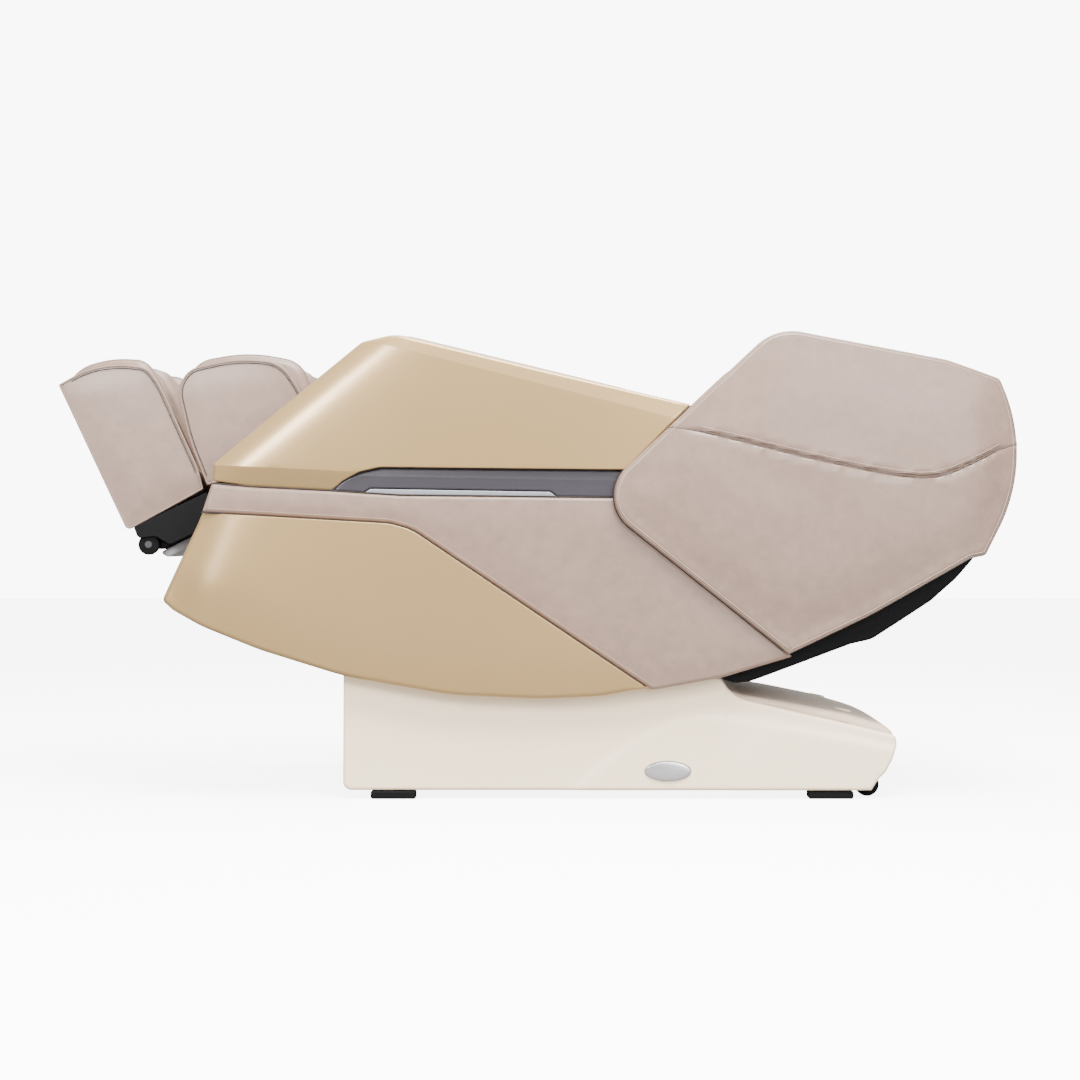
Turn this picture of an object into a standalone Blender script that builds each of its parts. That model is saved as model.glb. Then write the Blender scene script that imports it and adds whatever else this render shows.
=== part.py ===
"""Massage chair on a low plinth, leg-rest toward -X, head toward +X, floor at z = 0."""
import math

import bmesh
import bpy
from mathutils import Vector

# Overall sizes (metres).  Outlines are drawn at DRAWN_* and stretched to these.
BODY_LENGTH = 1.956
BODY_WIDTH = 0.820
BODY_HEIGHT = 0.945
DRAWN_LENGTH = 1.956
DRAWN_HEIGHT = 0.945
DRAWN_LEG_OUT = 0.2505

# Layers across the chair, from the outside in, measured from the mid-plane.
WING_SKIN = 0.0215
WING_CLEARANCE = 0.0035
PANEL_DEPTH = 0.042
PANEL_STEP = 0.0035
PANEL_CLEARANCE = 0.005
CHEEK_DEPTH = 0.038
LAYER_GAP = 0.0025
RAIL_DEPTH = 0.027
PLATE_DEPTH = 0.020
SIDE_CLEARANCE = 0.006
LEG_CLEARANCE = 0.018
SEAM_GAP = 0.0016
FIT = 0.0004

# Hardware.
STUB_RADIUS = 0.014
SHAFT_RADIUS = 0.011
BORE_CLEARANCE = 0.0008
FOOT_LENGTH = 0.092
FOOT_WIDTH = 0.034
TRANSPORT_RADIUS = 0.0245
TRANSPORT_TREAD = 0.020
LEG_WHEEL_RADIUS = 0.0220
LEG_WHEEL_TREAD = 0.018
AXLE_RADIUS = 0.006
TUBE_RADIUS = 0.019
ROD_RADIUS = 0.009
EYE_RADIUS = 0.0185
EYE_BORE = 0.0130
PIN_RADIUS = 0.0045
EYE_HALF = 0.008
EAR_DEPTH = 0.005
EAR_GAP = 0.002
CALF_WELL = 0.150
FOOT_WELL = 0.118
CUSHION_DEPTH = 0.062
SHELL_WALL = 0.005
RAIL_RADIUS = 0.009
ROLLER_RADIUS = 0.030
ROLLER_TREAD = 0.028
SLIDER_HALF_Y = 0.012
SLIDER_HALF_N = 0.009
RAIL_INSET = 0.0745

TILT_DRIVE_Y = -0.090
RECLINE_DRIVE_Y = 0.089

# Main centres on the side drawing.
TILT_AXIS = (0.061, 0.324)
BACK_AXIS = (0.274, 0.405)
LEG_AXIS = (-0.422, 0.652)
BACK_SLOPE = math.radians(21.0)
LEG_SLOPE = math.radians(26.1)

LEATHER = ("leather_taupe", (0.50, 0.42, 0.37), 0.45, 0.0)
GOLD = ("moulding_gold", (0.55, 0.44, 0.30), 0.32, 0.35)
CREAM = ("moulding_cream", (0.82, 0.78, 0.70), 0.35, 0.0)
DECK = ("moulding_taupe", (0.40, 0.34, 0.30), 0.5, 0.0)
GREY = ("trim_grey", (0.14, 0.13, 0.15), 0.35, 0.2)
LIGHT = ("light_strip", (0.62, 0.66, 0.68), 0.3, 0.0)
BLACK = ("moulding_black", (0.015, 0.015, 0.018), 0.45, 0.0)
STEEL = ("steel_black", (0.04, 0.04, 0.045), 0.4, 0.8)
BRIGHT = ("steel_bright", (0.60, 0.61, 0.63), 0.25, 1.0)
RUBBER = ("rubber_black", (0.02, 0.02, 0.02), 0.8, 0.0)
NYLON = ("nylon_grey", (0.30, 0.30, 0.31), 0.5, 0.0)

HALF = BODY_WIDTH / 2
PANEL_OUT = HALF - WING_SKIN - WING_CLEARANCE
PANEL_IN = PANEL_OUT - PANEL_DEPTH
CHEEK_OUT = PANEL_IN - PANEL_CLEARANCE
CHEEK_IN = CHEEK_OUT - CHEEK_DEPTH
RAIL_OUT = CHEEK_IN - LAYER_GAP
RAIL_IN = RAIL_OUT - RAIL_DEPTH
PLATE_OUT = RAIL_IN - 0.004
PLATE_IN = PLATE_OUT - PLATE_DEPTH
ARM_IN = PLATE_OUT + 0.002
CUSHION_OUT = ARM_IN - SIDE_CLEARANCE
LEG_OUT = ARM_IN - LEG_CLEARANCE
LEG_FRAME_OUT = PLATE_IN - 0.024
SHELL_OUT = PANEL_IN - 0.003
SHELL_IN = SHELL_OUT - 0.014
BACK_PLATE_IN = PLATE_OUT + 0.004
BACK_PLATE_OUT = BACK_PLATE_IN + 0.018
RAIL_TRACK = BACK_PLATE_IN - RAIL_INSET
WELL_SCALE = LEG_OUT / DRAWN_LEG_OUT
BASE_LOW = 0.017 * BODY_HEIGHT / DRAWN_HEIGHT
ROD_LENGTH = 0.175

# Ears that carry the moving pivots, drawn along and square to the back and the leg-rest.
RECLINE_EAR = [(0.110, -0.084), (0.130, -0.084), (0.040, -0.128, 0.012), (0.006, -0.112, 0.012),
               (0.020, -0.080, 0.01)]
LEG_EAR = [(0.026, 0.020), (0.006, -0.020), (0.004, -0.090, 0.012), (0.034, -0.090, 0.012),
           (0.056, 0.018)]

PARTS = "massage_chair"
TOOLS = "cutters"


def drawn(x, z):
    """A point of the side drawing, stretched to the overall sizes."""
    return (x * BODY_LENGTH / DRAWN_LENGTH, z * BODY_HEIGHT / DRAWN_HEIGHT)


def onLeg(a, n):
    """Drawing point from distances along and square to the leg-rest."""
    c, s = math.cos(LEG_SLOPE), math.sin(LEG_SLOPE)
    return (LEG_AXIS[0] - a * c - n * s, LEG_AXIS[1] - a * s + n * c)


def onBack(b, m):
    """Drawing point from distances along and square to the back-rest."""
    c, s = math.cos(BACK_SLOPE), math.sin(BACK_SLOPE)
    return (BACK_AXIS[0] + b * c - m * s, BACK_AXIS[1] + b * s + m * c)


def clearScene():
    for obj in list(bpy.data.objects):
        bpy.data.objects.remove(obj, do_unlink=True)
    for name in (PARTS, TOOLS):
        group = bpy.data.collections.new(name)
        bpy.context.scene.collection.children.link(group)


def material(spec):
    name, colour, rough, metal = spec
    mat = bpy.data.materials.get(name)
    if mat is None:
        mat = bpy.data.materials.new(name)
        mat.use_nodes = True
        bsdf = mat.node_tree.nodes["Principled BSDF"]
        bsdf.inputs["Base Color"].default_value = (*colour, 1.0)
        bsdf.inputs["Roughness"].default_value = rough
        bsdf.inputs["Metallic"].default_value = metal
        mat.diffuse_color = (*colour, 1.0)
    return mat


def keep(name, bm, group, spec=None, centre=(0.0, 0.0, 0.0), smooth=False):
    """Turn a bmesh into an object whose origin is at centre."""
    bmesh.ops.translate(bm, verts=bm.verts, vec=-Vector(centre))
    bmesh.ops.recalc_face_normals(bm, faces=bm.faces)
    mesh = bpy.data.meshes.new(name)
    bm.to_mesh(mesh)
    bm.free()
    for face in mesh.polygons:
        face.use_smooth = smooth
    obj = bpy.data.objects.new(name, mesh)
    obj.location = centre
    bpy.data.collections[group].objects.link(obj)
    if spec is not None:
        mesh.materials.append(material(spec))
    else:
        obj.hide_render = True
        obj.display_type = "WIRE"
    return obj


def cornered(points, fine=0.012):
    """Outline with its corners rounded; points are (x, z) or (x, z, radius) as drawn."""
    pts = [Vector(drawn(p[0], p[1])) for p in points]
    radii = [p[2] if len(p) > 2 else 0.0 for p in points]
    out = []
    for i, here in enumerate(pts):
        before = pts[i - 1] - here
        after = pts[(i + 1) % len(pts)] - here
        if radii[i] <= 0.0 or before.length < 1e-6 or after.length < 1e-6:
            out.append(here)
            continue
        half = before.angle(after) / 2
        reach = radii[i] / max(math.tan(half), 1e-6)
        share = [radii[i] / (radii[i] + other) for other in (radii[i - 1], radii[(i + 1) % len(pts)])]
        reach = min(reach, before.length * share[0] * 0.98, after.length * share[1] * 0.98)
        radius = reach * math.tan(half)
        start = here + before.normalized() * reach
        end = here + after.normalized() * reach
        turn = math.pi - 2 * half
        steps = max(2, min(8, int(math.ceil(radius * turn / fine)), int(turn / 0.2) + 1))
        inward = (before.normalized() + after.normalized()).normalized()
        middle = here + inward * radius / math.sin(half)
        spoke = start - middle
        way = 1.0 if spoke.x * (end - middle).y - spoke.y * (end - middle).x > 0 else -1.0
        for k in range(steps + 1):
            t = way * turn * k / steps
            out.append(middle + Vector((spoke.x * math.cos(t) - spoke.y * math.sin(t),
                                        spoke.x * math.sin(t) + spoke.y * math.cos(t))))
    kept = []
    for p in out:
        if not kept or (p - kept[-1]).length > 1e-4:
            kept.append(p)
    if (kept[0] - kept[-1]).length < 1e-4:
        kept.pop()
    return kept


def turning(outline):
    """Twice the signed area of an outline."""
    return sum(p.x * q.y - q.x * p.y for p, q in zip(outline, outline[1:] + outline[:1]))


def drawnIn(outline, gap):
    """The same outline moved inward by gap on every side."""
    sign = 1.0 if turning(outline) > 0 else -1.0
    count = len(outline)
    moved = []
    for i, here in enumerate(outline):
        d1 = (here - outline[i - 1]).normalized()
        d2 = (outline[(i + 1) % count] - here).normalized()
        n1 = Vector((-d1.y, d1.x)) * sign
        n2 = Vector((-d2.y, d2.x)) * sign
        middle = n1 + n2
        if middle.length < 1e-6:
            moved.append(here + n1 * gap)
            continue
        middle.normalize()
        moved.append(here + middle * gap / max(middle.dot(n1), 0.35))
    return moved


def soften(obj, width, segments=1):
    if width > 0.0:
        mod = obj.modifiers.new("edges", "BEVEL")
        mod.width = width
        mod.segments = segments
        mod.limit_method = "ANGLE"
        mod.angle_limit = math.radians(40.0)
        mod.use_clamp_overlap = True
    return obj


def slabMesh(outline, y0, y1):
    """Closed prism between y0 and y1 over an outline in the x-z plane."""
    bm = bmesh.new()
    face = bm.faces.new([bm.verts.new((p.x, y0, p.y)) for p in outline])
    grown = bmesh.ops.extrude_face_region(bm, geom=[face], use_keep_orig=True)["geom"]
    far = [item for item in grown if isinstance(item, bmesh.types.BMVert)]
    bmesh.ops.translate(bm, verts=far, vec=(0.0, y1 - y0, 0.0))
    return bm


def slab(name, points, y0, y1, spec, edge=0.0, centre=(0.0, 0.0, 0.0), gap=0.0, fine=0.016):
    outline = cornered(points, fine)
    if gap > 0.0:
        outline = drawnIn(outline, gap)
    group = PARTS if spec else TOOLS
    obj = keep(name, slabMesh(outline, min(y0, y1), max(y0, y1)), group, spec, centre)
    return soften(obj, edge)


def box(name, low, high, spec=None, edge=0.0):
    bm = bmesh.new()
    bmesh.ops.create_cube(bm, size=1.0)
    for v in bm.verts:
        for k in range(3):
            v.co[k] = low[k] if v.co[k] < 0 else high[k]
    return soften(keep(name, bm, PARTS if spec else TOOLS, spec), edge, 1)


def rod(name, start, end, radius, spec=None, sides=20, centre=(0.0, 0.0, 0.0)):
    """Round bar between two points."""
    start, end = Vector(start), Vector(end)
    bm = bmesh.new()
    bmesh.ops.create_cone(
        bm, cap_ends=True, segments=sides, radius1=radius, radius2=radius,
        depth=(end - start).length)
    turn = (end - start).to_track_quat("Z", "Y").to_matrix().to_4x4()
    bmesh.ops.transform(bm, matrix=turn, verts=bm.verts)
    bmesh.ops.translate(bm, verts=bm.verts, vec=(start + end) / 2)
    return keep(name, bm, PARTS if spec else TOOLS, spec, centre, smooth=True)


def across(name, x, z, y0, y1, radius, spec=None, sides=20, centre=(0.0, 0.0, 0.0)):
    """Round bar lying across the chair; x and z are already stretched."""
    return rod(name, (x, min(y0, y1), z), (x, max(y0, y1), z), radius, spec, sides, centre)


def combine(obj, tool, operation):
    tool.hide_render = True
    tool.display_type = "WIRE"
    mod = obj.modifiers.new(operation.lower(), "BOOLEAN")
    mod.operation = operation
    mod.solver = "EXACT"
    mod.object = tool
    return obj


def add(obj, tool):
    return combine(obj, tool, "UNION")


def cut(obj, tool):
    return combine(obj, tool, "DIFFERENCE")


def sides():
    """The two sides: name and the sign of y.  The sitter's left is -Y."""
    return (("left", -1.0), ("right", 1.0))


def axis3(point, y=0.0):
    x, z = drawn(*point)
    return (x, y, z)


# Borders shared by the side panels, from the front toward the back.
ARM_FRONT = [(-0.638, 0.645, 0.004), (-0.638, 0.681, 0.004), (-0.339, 0.926, 0.02)]
ARM_TOP = [(-0.271, 0.942, 0.03), (0.020, 0.871), (0.326, 0.799, 0.004)]
ARM_REAR = [(0.195, 0.667)]
TRIM_TOP = [(-0.301, 0.672), (-0.341, 0.663), (-0.375, 0.645), (-0.397, 0.626)]
LIGHT_TOP = [(0.055, 0.6135), (0.041, 0.624), (-0.321, 0.630), (-0.333, 0.6215)]
SEAM = [(-0.660, 0.582), (-0.281, 0.560, 0.08), (-0.236, 0.547, 0.08), (0.243, 0.225)]


def makeBase():
    rise = BASE_LOW
    x0, x1 = drawn(-0.360, 0)[0], drawn(0.640, 0)[0]
    tx, _, tz = axis3(TILT_AXIS)
    rail = box("base_frame", (x0, RAIL_IN, rise + FIT), (x1, RAIL_OUT, 0.062), STEEL)
    add(rail, box("frame_rail", (x0, -RAIL_OUT, rise + FIT), (x1, -RAIL_IN, 0.062)))
    wx = drawn(0.692, 0)[0]
    for name, low, high in (("front", x0 + 0.02, x0 + 0.06),
                            ("mid", drawn(0.385, 0)[0], drawn(0.435, 0)[0]),
                            ("rear", x1 - 0.05, x1 - 0.01)):
        bar = box(name + "_bar", (low, -RAIL_IN - 0.004, rise + 0.006),
                  (high, RAIL_IN + 0.004, 0.052))
        add(rail, bar)
    for side, s in sides():
        outer, inner = s * RAIL_OUT, s * RAIL_IN
        post = slab("post_" + side, [(TILT_AXIS[0] - 0.10, 0.045), (TILT_AXIS[0] + 0.10, 0.045),
                                     (TILT_AXIS[0] + 0.03, 0.354), (TILT_AXIS[0] - 0.03, 0.354)],
                    inner, outer, None)
        add(rail, post)
        add(rail, across("stub_" + side, tx, tz, s * (PLATE_IN - 0.004), s * (CHEEK_OUT - 0.003),
                         STUB_RADIUS))
        add(rail, box("wheel_arm_" + side,
                      (x1 - 0.04, min(s * (RAIL_IN - 0.010), s * (RAIL_IN + 0.002)), rise + 0.004),
                      (wx + 0.012, max(s * (RAIL_IN - 0.010), s * (RAIL_IN + 0.002)), 0.040)))
        add(rail, across("wheel_stub_" + side, wx, TRANSPORT_RADIUS + FIT, s * (RAIL_IN - 0.004),
                         s * (RAIL_OUT - 0.001), AXLE_RADIUS))
        lug = across("wheel_" + side, wx, TRANSPORT_RADIUS + FIT, s * (RAIL_IN + 0.003),
                     s * (RAIL_IN + 0.003 + TRANSPORT_TREAD), TRANSPORT_RADIUS, RUBBER, 28,
                     (wx, 0.0, TRANSPORT_RADIUS + FIT))
        lug.name = "transport_wheel_" + side
        cut(lug, across("wheel_bore_" + side, wx, TRANSPORT_RADIUS + FIT, s * (RAIL_IN - 0.01),
                        s * (RAIL_OUT + 0.02), AXLE_RADIUS + BORE_CLEARANCE))
        makeCheek(side, s, tx, tz)
        for end, fx in (("front", -0.278), ("rear", 0.612)):
            x = drawn(fx, 0)[0]
            y = s * (CHEEK_IN + CHEEK_OUT) / 2
            low = (x - FOOT_LENGTH / 2, y - FOOT_WIDTH / 2, 0.0)
            high = (x + FOOT_LENGTH / 2, y + FOOT_WIDTH / 2, rise - FIT)
            box("foot_%s_%s" % (end, side), low, high, RUBBER, 0.003)
    hold = EYE_HALF + EAR_GAP
    for index, low in enumerate((TILT_DRIVE_Y - hold - EAR_DEPTH, TILT_DRIVE_Y + hold)):
        add(rail, slab("tilt_ear_%d" % index, [(0.385, 0.045), (0.435, 0.045), (0.432, 0.112, 0.01),
                       (0.398, 0.112, 0.01)], low, low + EAR_DEPTH, None))


def makeCheek(side, s, tx, tz):
    shape = [(-0.375, 0.283, 0.006), (-0.375, 0.017, 0.008), (0.694, 0.017), (0.710, 0.042),
             (0.723, 0.054), (0.737, 0.080), (0.747, 0.110), (0.745, 0.127), (0.737, 0.132),
             (0.650, 0.153), (0.548, 0.176), (0.447, 0.200), (0.420, 0.210), (0.402, 0.226),
             (0.390, 0.245, 0.01), (0.270, 0.285, 0.03), (0.110, 0.364, 0.03), (0.015, 0.364, 0.03),
             (-0.140, 0.290, 0.04)]
    cheek = slab("base_cheek_" + side, shape, s * CHEEK_IN, s * CHEEK_OUT, CREAM, 0.006)
    cut(cheek, across("stub_bore_" + side, tx, tz, s * (CHEEK_IN - 0.01), s * (CHEEK_OUT + 0.01),
                      STUB_RADIUS + BORE_CLEARANCE))


def makeDeck():
    wide = CHEEK_IN - 0.0008
    top = [(0.405, 0.222), (0.420, 0.212, 0.02), (0.447, 0.206), (0.548, 0.190), (0.650, 0.168),
           (0.725, 0.146, 0.02), (0.745, 0.110, 0.03), (0.735, 0.075, 0.02), (0.722, 0.072)]
    under = [(0.728, 0.110, 0.02), (0.712, 0.134, 0.02), (0.640, 0.156), (0.548, 0.177),
             (0.447, 0.195), (0.398, 0.208)]
    deck = slab("base_deck", top + under, -wide, wide, DECK, 0.002)
    px, pz = drawn(0.7365, 0.104)
    cut(deck, box("inlet_hole", (px - 0.03, -0.060, pz - 0.013), (px + 0.03, -0.028, pz + 0.013)))
    cut(deck, box("switch_hole", (px - 0.03, 0.028, pz - 0.013), (px + 0.03, 0.052, pz + 0.013)))
    box("power_inlet", (px - 0.022, -0.060 + FIT, pz - 0.013 + FIT),
        (px + 0.004, -0.028 - FIT, pz + 0.013 - FIT), BLACK, 0.002)
    switch = box("power_switch", (px - 0.006, 0.030, pz - 0.0115), (px + 0.0085, 0.050, pz + 0.0115),
                 BLACK, 0.002)
    recentre(switch, (px, 0.040, pz))
    front = [(-0.360, 0.020), (-0.350, 0.020), (-0.350, 0.110), (-0.300, 0.120), (-0.300, 0.126),
             (-0.360, 0.116, 0.01)]
    slab("base_front_cover", front, -RAIL_IN + 0.001, RAIL_IN - 0.001, CREAM, 0.002)


def recentre(obj, centre):
    """Move an object's origin without moving its shape."""
    shift = Vector(centre) - obj.location
    for v in obj.data.vertices:
        v.co -= shift
    obj.location = centre
    return obj


def makeSeat():
    plate = [(-0.447, 0.662, 0.02), (-0.422, 0.684, 0.02), (-0.396, 0.662, 0.02), (-0.100, 0.505),
             (0.120, 0.402, 0.03), (0.272, 0.437, 0.02), (0.304, 0.405, 0.03), (0.262, 0.370, 0.03),
             (0.196, 0.256, 0.02), (0.145, 0.250, 0.02), (0.090, 0.290, 0.02), (0.030, 0.292, 0.03), (-0.080, 0.350, 0.05),
             (-0.300, 0.430, 0.04), (-0.420, 0.560, 0.05)]
    frame = slab("seat_frame", plate, PLATE_IN, PLATE_OUT, STEEL)
    add(frame, slab("seat_plate", plate, -PLATE_OUT, -PLATE_IN, None))
    for name, x, z, wide, tall in (("front", -0.300, 0.450, 0.030, 0.034),
                                   ("rear", 0.125, 0.390, 0.030, 0.030)):
        cx, cz = drawn(x, z)
        add(frame, box("seat_bar_" + name, (cx - wide / 2, -PANEL_IN + FIT, cz - tall / 2),
                       (cx + wide / 2, PANEL_IN - FIT, cz + tall / 2)))
    cx, cz = drawn(-0.095, 0.350)
    add(frame, box("seat_bar_mid", (cx - 0.015, -PLATE_IN - 0.004, cz - 0.015),
                   (cx + 0.015, PLATE_IN + 0.004, cz + 0.015)))
    cx, cz = drawn(0.165, 0.270)
    add(frame, box("seat_bar_low", (cx - 0.012, -PLATE_IN - 0.004, cz - 0.012),
                   (cx + 0.012, PLATE_IN + 0.004, cz + 0.012)))
    for index, point in enumerate((TILT_AXIS, BACK_AXIS, LEG_AXIS)):
        x, _, z = axis3(point)
        radius = (STUB_RADIUS if index == 0 else SHAFT_RADIUS) + BORE_CLEARANCE
        cut(frame, across("seat_bore_%d" % index, x, z, -PLATE_OUT - 0.01, PLATE_OUT + 0.01, radius))
    x, _, z = axis3(BACK_AXIS)
    across("recline_shaft", x, z, -BACK_PLATE_OUT + 0.001, BACK_PLATE_OUT - 0.001, SHAFT_RADIUS, BRIGHT)
    x, _, z = axis3(LEG_AXIS)
    across("leg_shaft", x, z, -PLATE_OUT + 0.002, PLATE_OUT - 0.002, SHAFT_RADIUS, BRIGHT)
    cushion = [(-0.402, 0.716, 0.03), (-0.396, 0.684, 0.02), (0.120, 0.427), (0.155, 0.410),
               (0.155, 0.440, 0.01), (0.115, 0.462, 0.03), (-0.100, 0.560, 0.3)]
    slab("seat_cushion", cushion, -CUSHION_OUT, CUSHION_OUT, LEATHER, 0.012)
    belly = [(-0.446, 0.540), (-0.476, 0.370, 0.06), (-0.400, 0.275, 0.08), (-0.150, 0.240, 0.1),
             (-0.010, 0.236), (-0.010, 0.244), (-0.150, 0.248, 0.1), (-0.396, 0.283, 0.08),
             (-0.467, 0.372, 0.06), (-0.438, 0.540)]
    slab("belly_cover", belly, -PLATE_OUT, PLATE_OUT, BLACK)


def makeSidePanels():
    arm = ARM_FRONT + ARM_TOP + ARM_REAR + TRIM_TOP + [(-0.562, 0.634)]
    trim = [(0.195, 0.667), (0.185, 0.640, 0.03), (0.180, 0.612)] + LIGHT_TOP
    trim += TRIM_TOP[::-1]
    light = LIGHT_TOP + [(-0.261, 0.617)]
    band = [(-0.640, 0.641), (-0.562, 0.634), (-0.397, 0.626), (-0.333, 0.6215), (-0.261, 0.617),
            (0.055, 0.6135), (0.180, 0.612), (0.190, 0.580), (0.232, 0.535), (0.530, 0.292, 0.01),
            (0.386, 0.249, 0.04), (0.261, 0.226)] + SEAM[::-1]
    hull = SEAM + [(0.221, 0.222), (0.141, 0.211), (0.081, 0.207), (0.021, 0.206), (-0.060, 0.208),
                   (-0.160, 0.214), (-0.261, 0.228), (-0.371, 0.251), (-0.542, 0.304),
                   (-0.662, 0.352), (-0.722, 0.384), (-0.736, 0.406, 0.01), (-0.730, 0.430, 0.02)]
    pad = [(-0.600, 0.668, 0.01), (-0.325, 0.915, 0.03), (-0.265, 0.944, 0.03), (0.300, 0.807, 0.01),
           (0.170, 0.655), (0.150, 0.440), (0.080, 0.440), (-0.400, 0.600, 0.04), (-0.590, 0.650, 0.01)]
    half = SEAM_GAP / 2
    for side, s in sides():
        inner, outer = s * PANEL_IN, s * PANEL_OUT
        step = s * (PANEL_OUT - PANEL_STEP)
        slab("arm_panel_" + side, arm, inner, outer, GOLD, 0.005, gap=half)
        slab("arm_trim_" + side, trim, inner, step, GREY, 0.003, gap=half)
        slab("arm_light_" + side, light, s * (PANEL_OUT - 0.02), step, LIGHT, 0.0015, gap=half)
        slab("side_band_" + side, band, inner, outer, LEATHER, 0.005, gap=half)
        slab("hull_panel_" + side, hull, inner, step, GOLD, 0.008, gap=half)
        slab("arm_pad_" + side, pad, s * ARM_IN, s * (PANEL_IN - FIT), LEATHER, 0.010)
    for side, s in sides():
        pad = bpy.data.objects["arm_pad_" + side]
        for name in ("front", "rear"):
            bar = bpy.data.objects["seat_bar_" + name]
            grow = bar.copy()
            grow.data = bar.data.copy()
            grow.name = "pad_slot_%s_%s" % (name, side)
            middle = sum((v.co for v in grow.data.vertices), Vector()) / 8
            for v in grow.data.vertices:
                v.co.x += 0.001 if v.co.x > middle.x else -0.001
                v.co.z += 0.001 if v.co.z > middle.z else -0.001
            bpy.data.collections[TOOLS].objects.link(grow)
            cut(pad, grow)


def makeKeys():
    """Quick keys on the sitter's right armrest."""
    x, z = drawn(-0.225, 0.9335)
    y = ARM_IN + 0.036
    slope = math.atan2(0.137 * BODY_HEIGHT / DRAWN_HEIGHT, 0.565 * BODY_LENGTH / DRAWN_LENGTH)
    plate = box("key_panel", (-0.060, y - 0.020, 0.003), (0.060, y + 0.020, 0.009), BLACK, 0.002)
    key = box("recline_key", (-0.016, y - 0.010, 0.0106), (0.016, y + 0.010, 0.0150), NYLON, 0.001)
    for obj in (plate, key):
        for v in obj.data.vertices:
            turned = Vector((v.co.x * math.cos(slope) + v.co.z * math.sin(slope), 0.0,
                             v.co.z * math.cos(slope) - v.co.x * math.sin(slope)))
            v.co = Vector((turned.x + x, v.co.y, turned.z + z + 0.001))
    recentre(key, (x + 0.010 * math.sin(slope), y, z + 0.010 * math.cos(slope)))


def backSlab(name, points, y0, y1, spec, edge=0.0, fine=0.012):
    """Slab drawn in distances along and square to the back-rest."""
    shape = [onBack(p[0], p[1]) + tuple(p[2:]) for p in points]
    return slab(name, shape, y0, y1, spec, edge, axis3(BACK_AXIS) if spec else (0, 0, 0), 0.0, fine)


def makeBack():
    hx, _, hz = axis3(BACK_AXIS)
    plate = [(-0.030, 0.000, 0.03), (0.000, -0.030, 0.03), (0.080, -0.095, 0.04), (0.200, -0.095),
             (0.600, -0.070, 0.03), (0.600, 0.020, 0.02), (0.060, 0.020), (0.000, 0.028, 0.03)]
    frame = backSlab("back_frame", plate, BACK_PLATE_IN, BACK_PLATE_OUT, STEEL)
    add(frame, backSlab("back_plate", plate, -BACK_PLATE_OUT, -BACK_PLATE_IN, None))
    for index, (b, m) in enumerate(((0.120, -0.080), (0.585, -0.062))):
        bar = backSlab("back_bar_%d" % index, [(b - 0.012, m - 0.010), (b + 0.012, m - 0.010),
                       (b + 0.012, m + 0.010), (b - 0.012, m + 0.010)],
                       -BACK_PLATE_IN - 0.003, BACK_PLATE_IN + 0.003, None)
        add(frame, bar)
    for side, s in sides():
        low, high = drawn(*onBack(0.116, -0.067)), drawn(*onBack(0.589, -0.067))
        y = s * RAIL_TRACK
        add(frame, rod("back_rail_" + side, (low[0], y, low[1]), (high[0], y, high[1]), RAIL_RADIUS,
                       None, 20))
    hold = EYE_HALF + EAR_GAP
    for index, y in enumerate((RECLINE_DRIVE_Y - hold - EAR_DEPTH, RECLINE_DRIVE_Y + hold)):
        ear = backSlab("recline_ear_%d" % index, RECLINE_EAR, y, y + EAR_DEPTH, None)
        add(frame, ear)
    cut(frame, across("back_bore", hx, hz, -BACK_PLATE_OUT - 0.01, BACK_PLATE_OUT + 0.01,
                      SHAFT_RADIUS + BORE_CLEARANCE))
    makeShell(hx, hz)
    wide = CUSHION_OUT
    roll = [(0.115 * math.sin(t), 0.115 * math.cos(t)) for t in
            [math.radians(10.0 - 64.0 * k / 9) for k in range(10)]]
    inner = [(0.060 * math.sin(t), 0.060 * math.cos(t)) for t in
             [math.radians(-54.0 + 64.0 * k / 6) for k in range(7)]]
    top = [(0.700, 0.060, 0.02), (0.716, 0.100, 0.04), (0.690, 0.124, 0.04), (0.480, 0.116, 0.3),
           (0.220, 0.128, 0.3)]
    cushion = backSlab("back_cushion", roll + inner + top, -wide, wide, LEATHER, 0.010)
    for side, s in sides():
        cut(cushion, across("plate_relief_" + side, hx, hz, s * (PLATE_IN - 0.004), s * (wide + 0.02),
                            0.121, None, 32))
    pillow = [(0.500, 0.1245, 0.02), (0.660, 0.1265, 0.02), (0.665, 0.158, 0.03), (0.580, 0.176, 0.06),
              (0.495, 0.156, 0.03)]
    backSlab("head_pillow", pillow, -0.155, 0.155, LEATHER, 0.012)
    for side, s in sides():
        makeWing(side, s, hx, hz)


def makeShell(hx, hz):
    """Rear tub: hollow, open toward the cushion."""
    outer = [(0.396, 0.246, 0.02), (0.472, 0.246, 0.04), (0.653, 0.314, 0.05), (0.694, 0.323, 0.05),
             (0.753, 0.362, 0.04), (0.814, 0.402, 0.04), (0.865, 0.447, 0.04), (0.899, 0.486, 0.04),
             (0.958, 0.600, 0.10), (0.962, 0.712, 0.02), (0.930, 0.706), onBack(0.662, 0.0465),
             onBack(0.120, 0.0465), (0.402, 0.390)]
    shell = slab("back_shell", outer, -SHELL_OUT, SHELL_OUT, BLACK, 0.006, (hx, 0.0, hz))
    w = SHELL_WALL
    hollow = [(0.408, 0.246 + 2 * w, 0.02), (0.472, 0.246 + 2 * w, 0.04), (0.650, 0.326, 0.05),
              (0.690, 0.336, 0.05), (0.744, 0.370, 0.04), (0.802, 0.410, 0.04), (0.852, 0.455, 0.04),
              (0.884, 0.492, 0.04), (0.938, 0.604, 0.10), (0.936, 0.680), onBack(0.655, 0.070),
              onBack(0.100, 0.070), (0.380, 0.400), (0.380, 0.246 + 2 * w)]
    cut(shell, slab("shell_hollow", hollow, -SHELL_IN, SHELL_IN, None))


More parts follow.
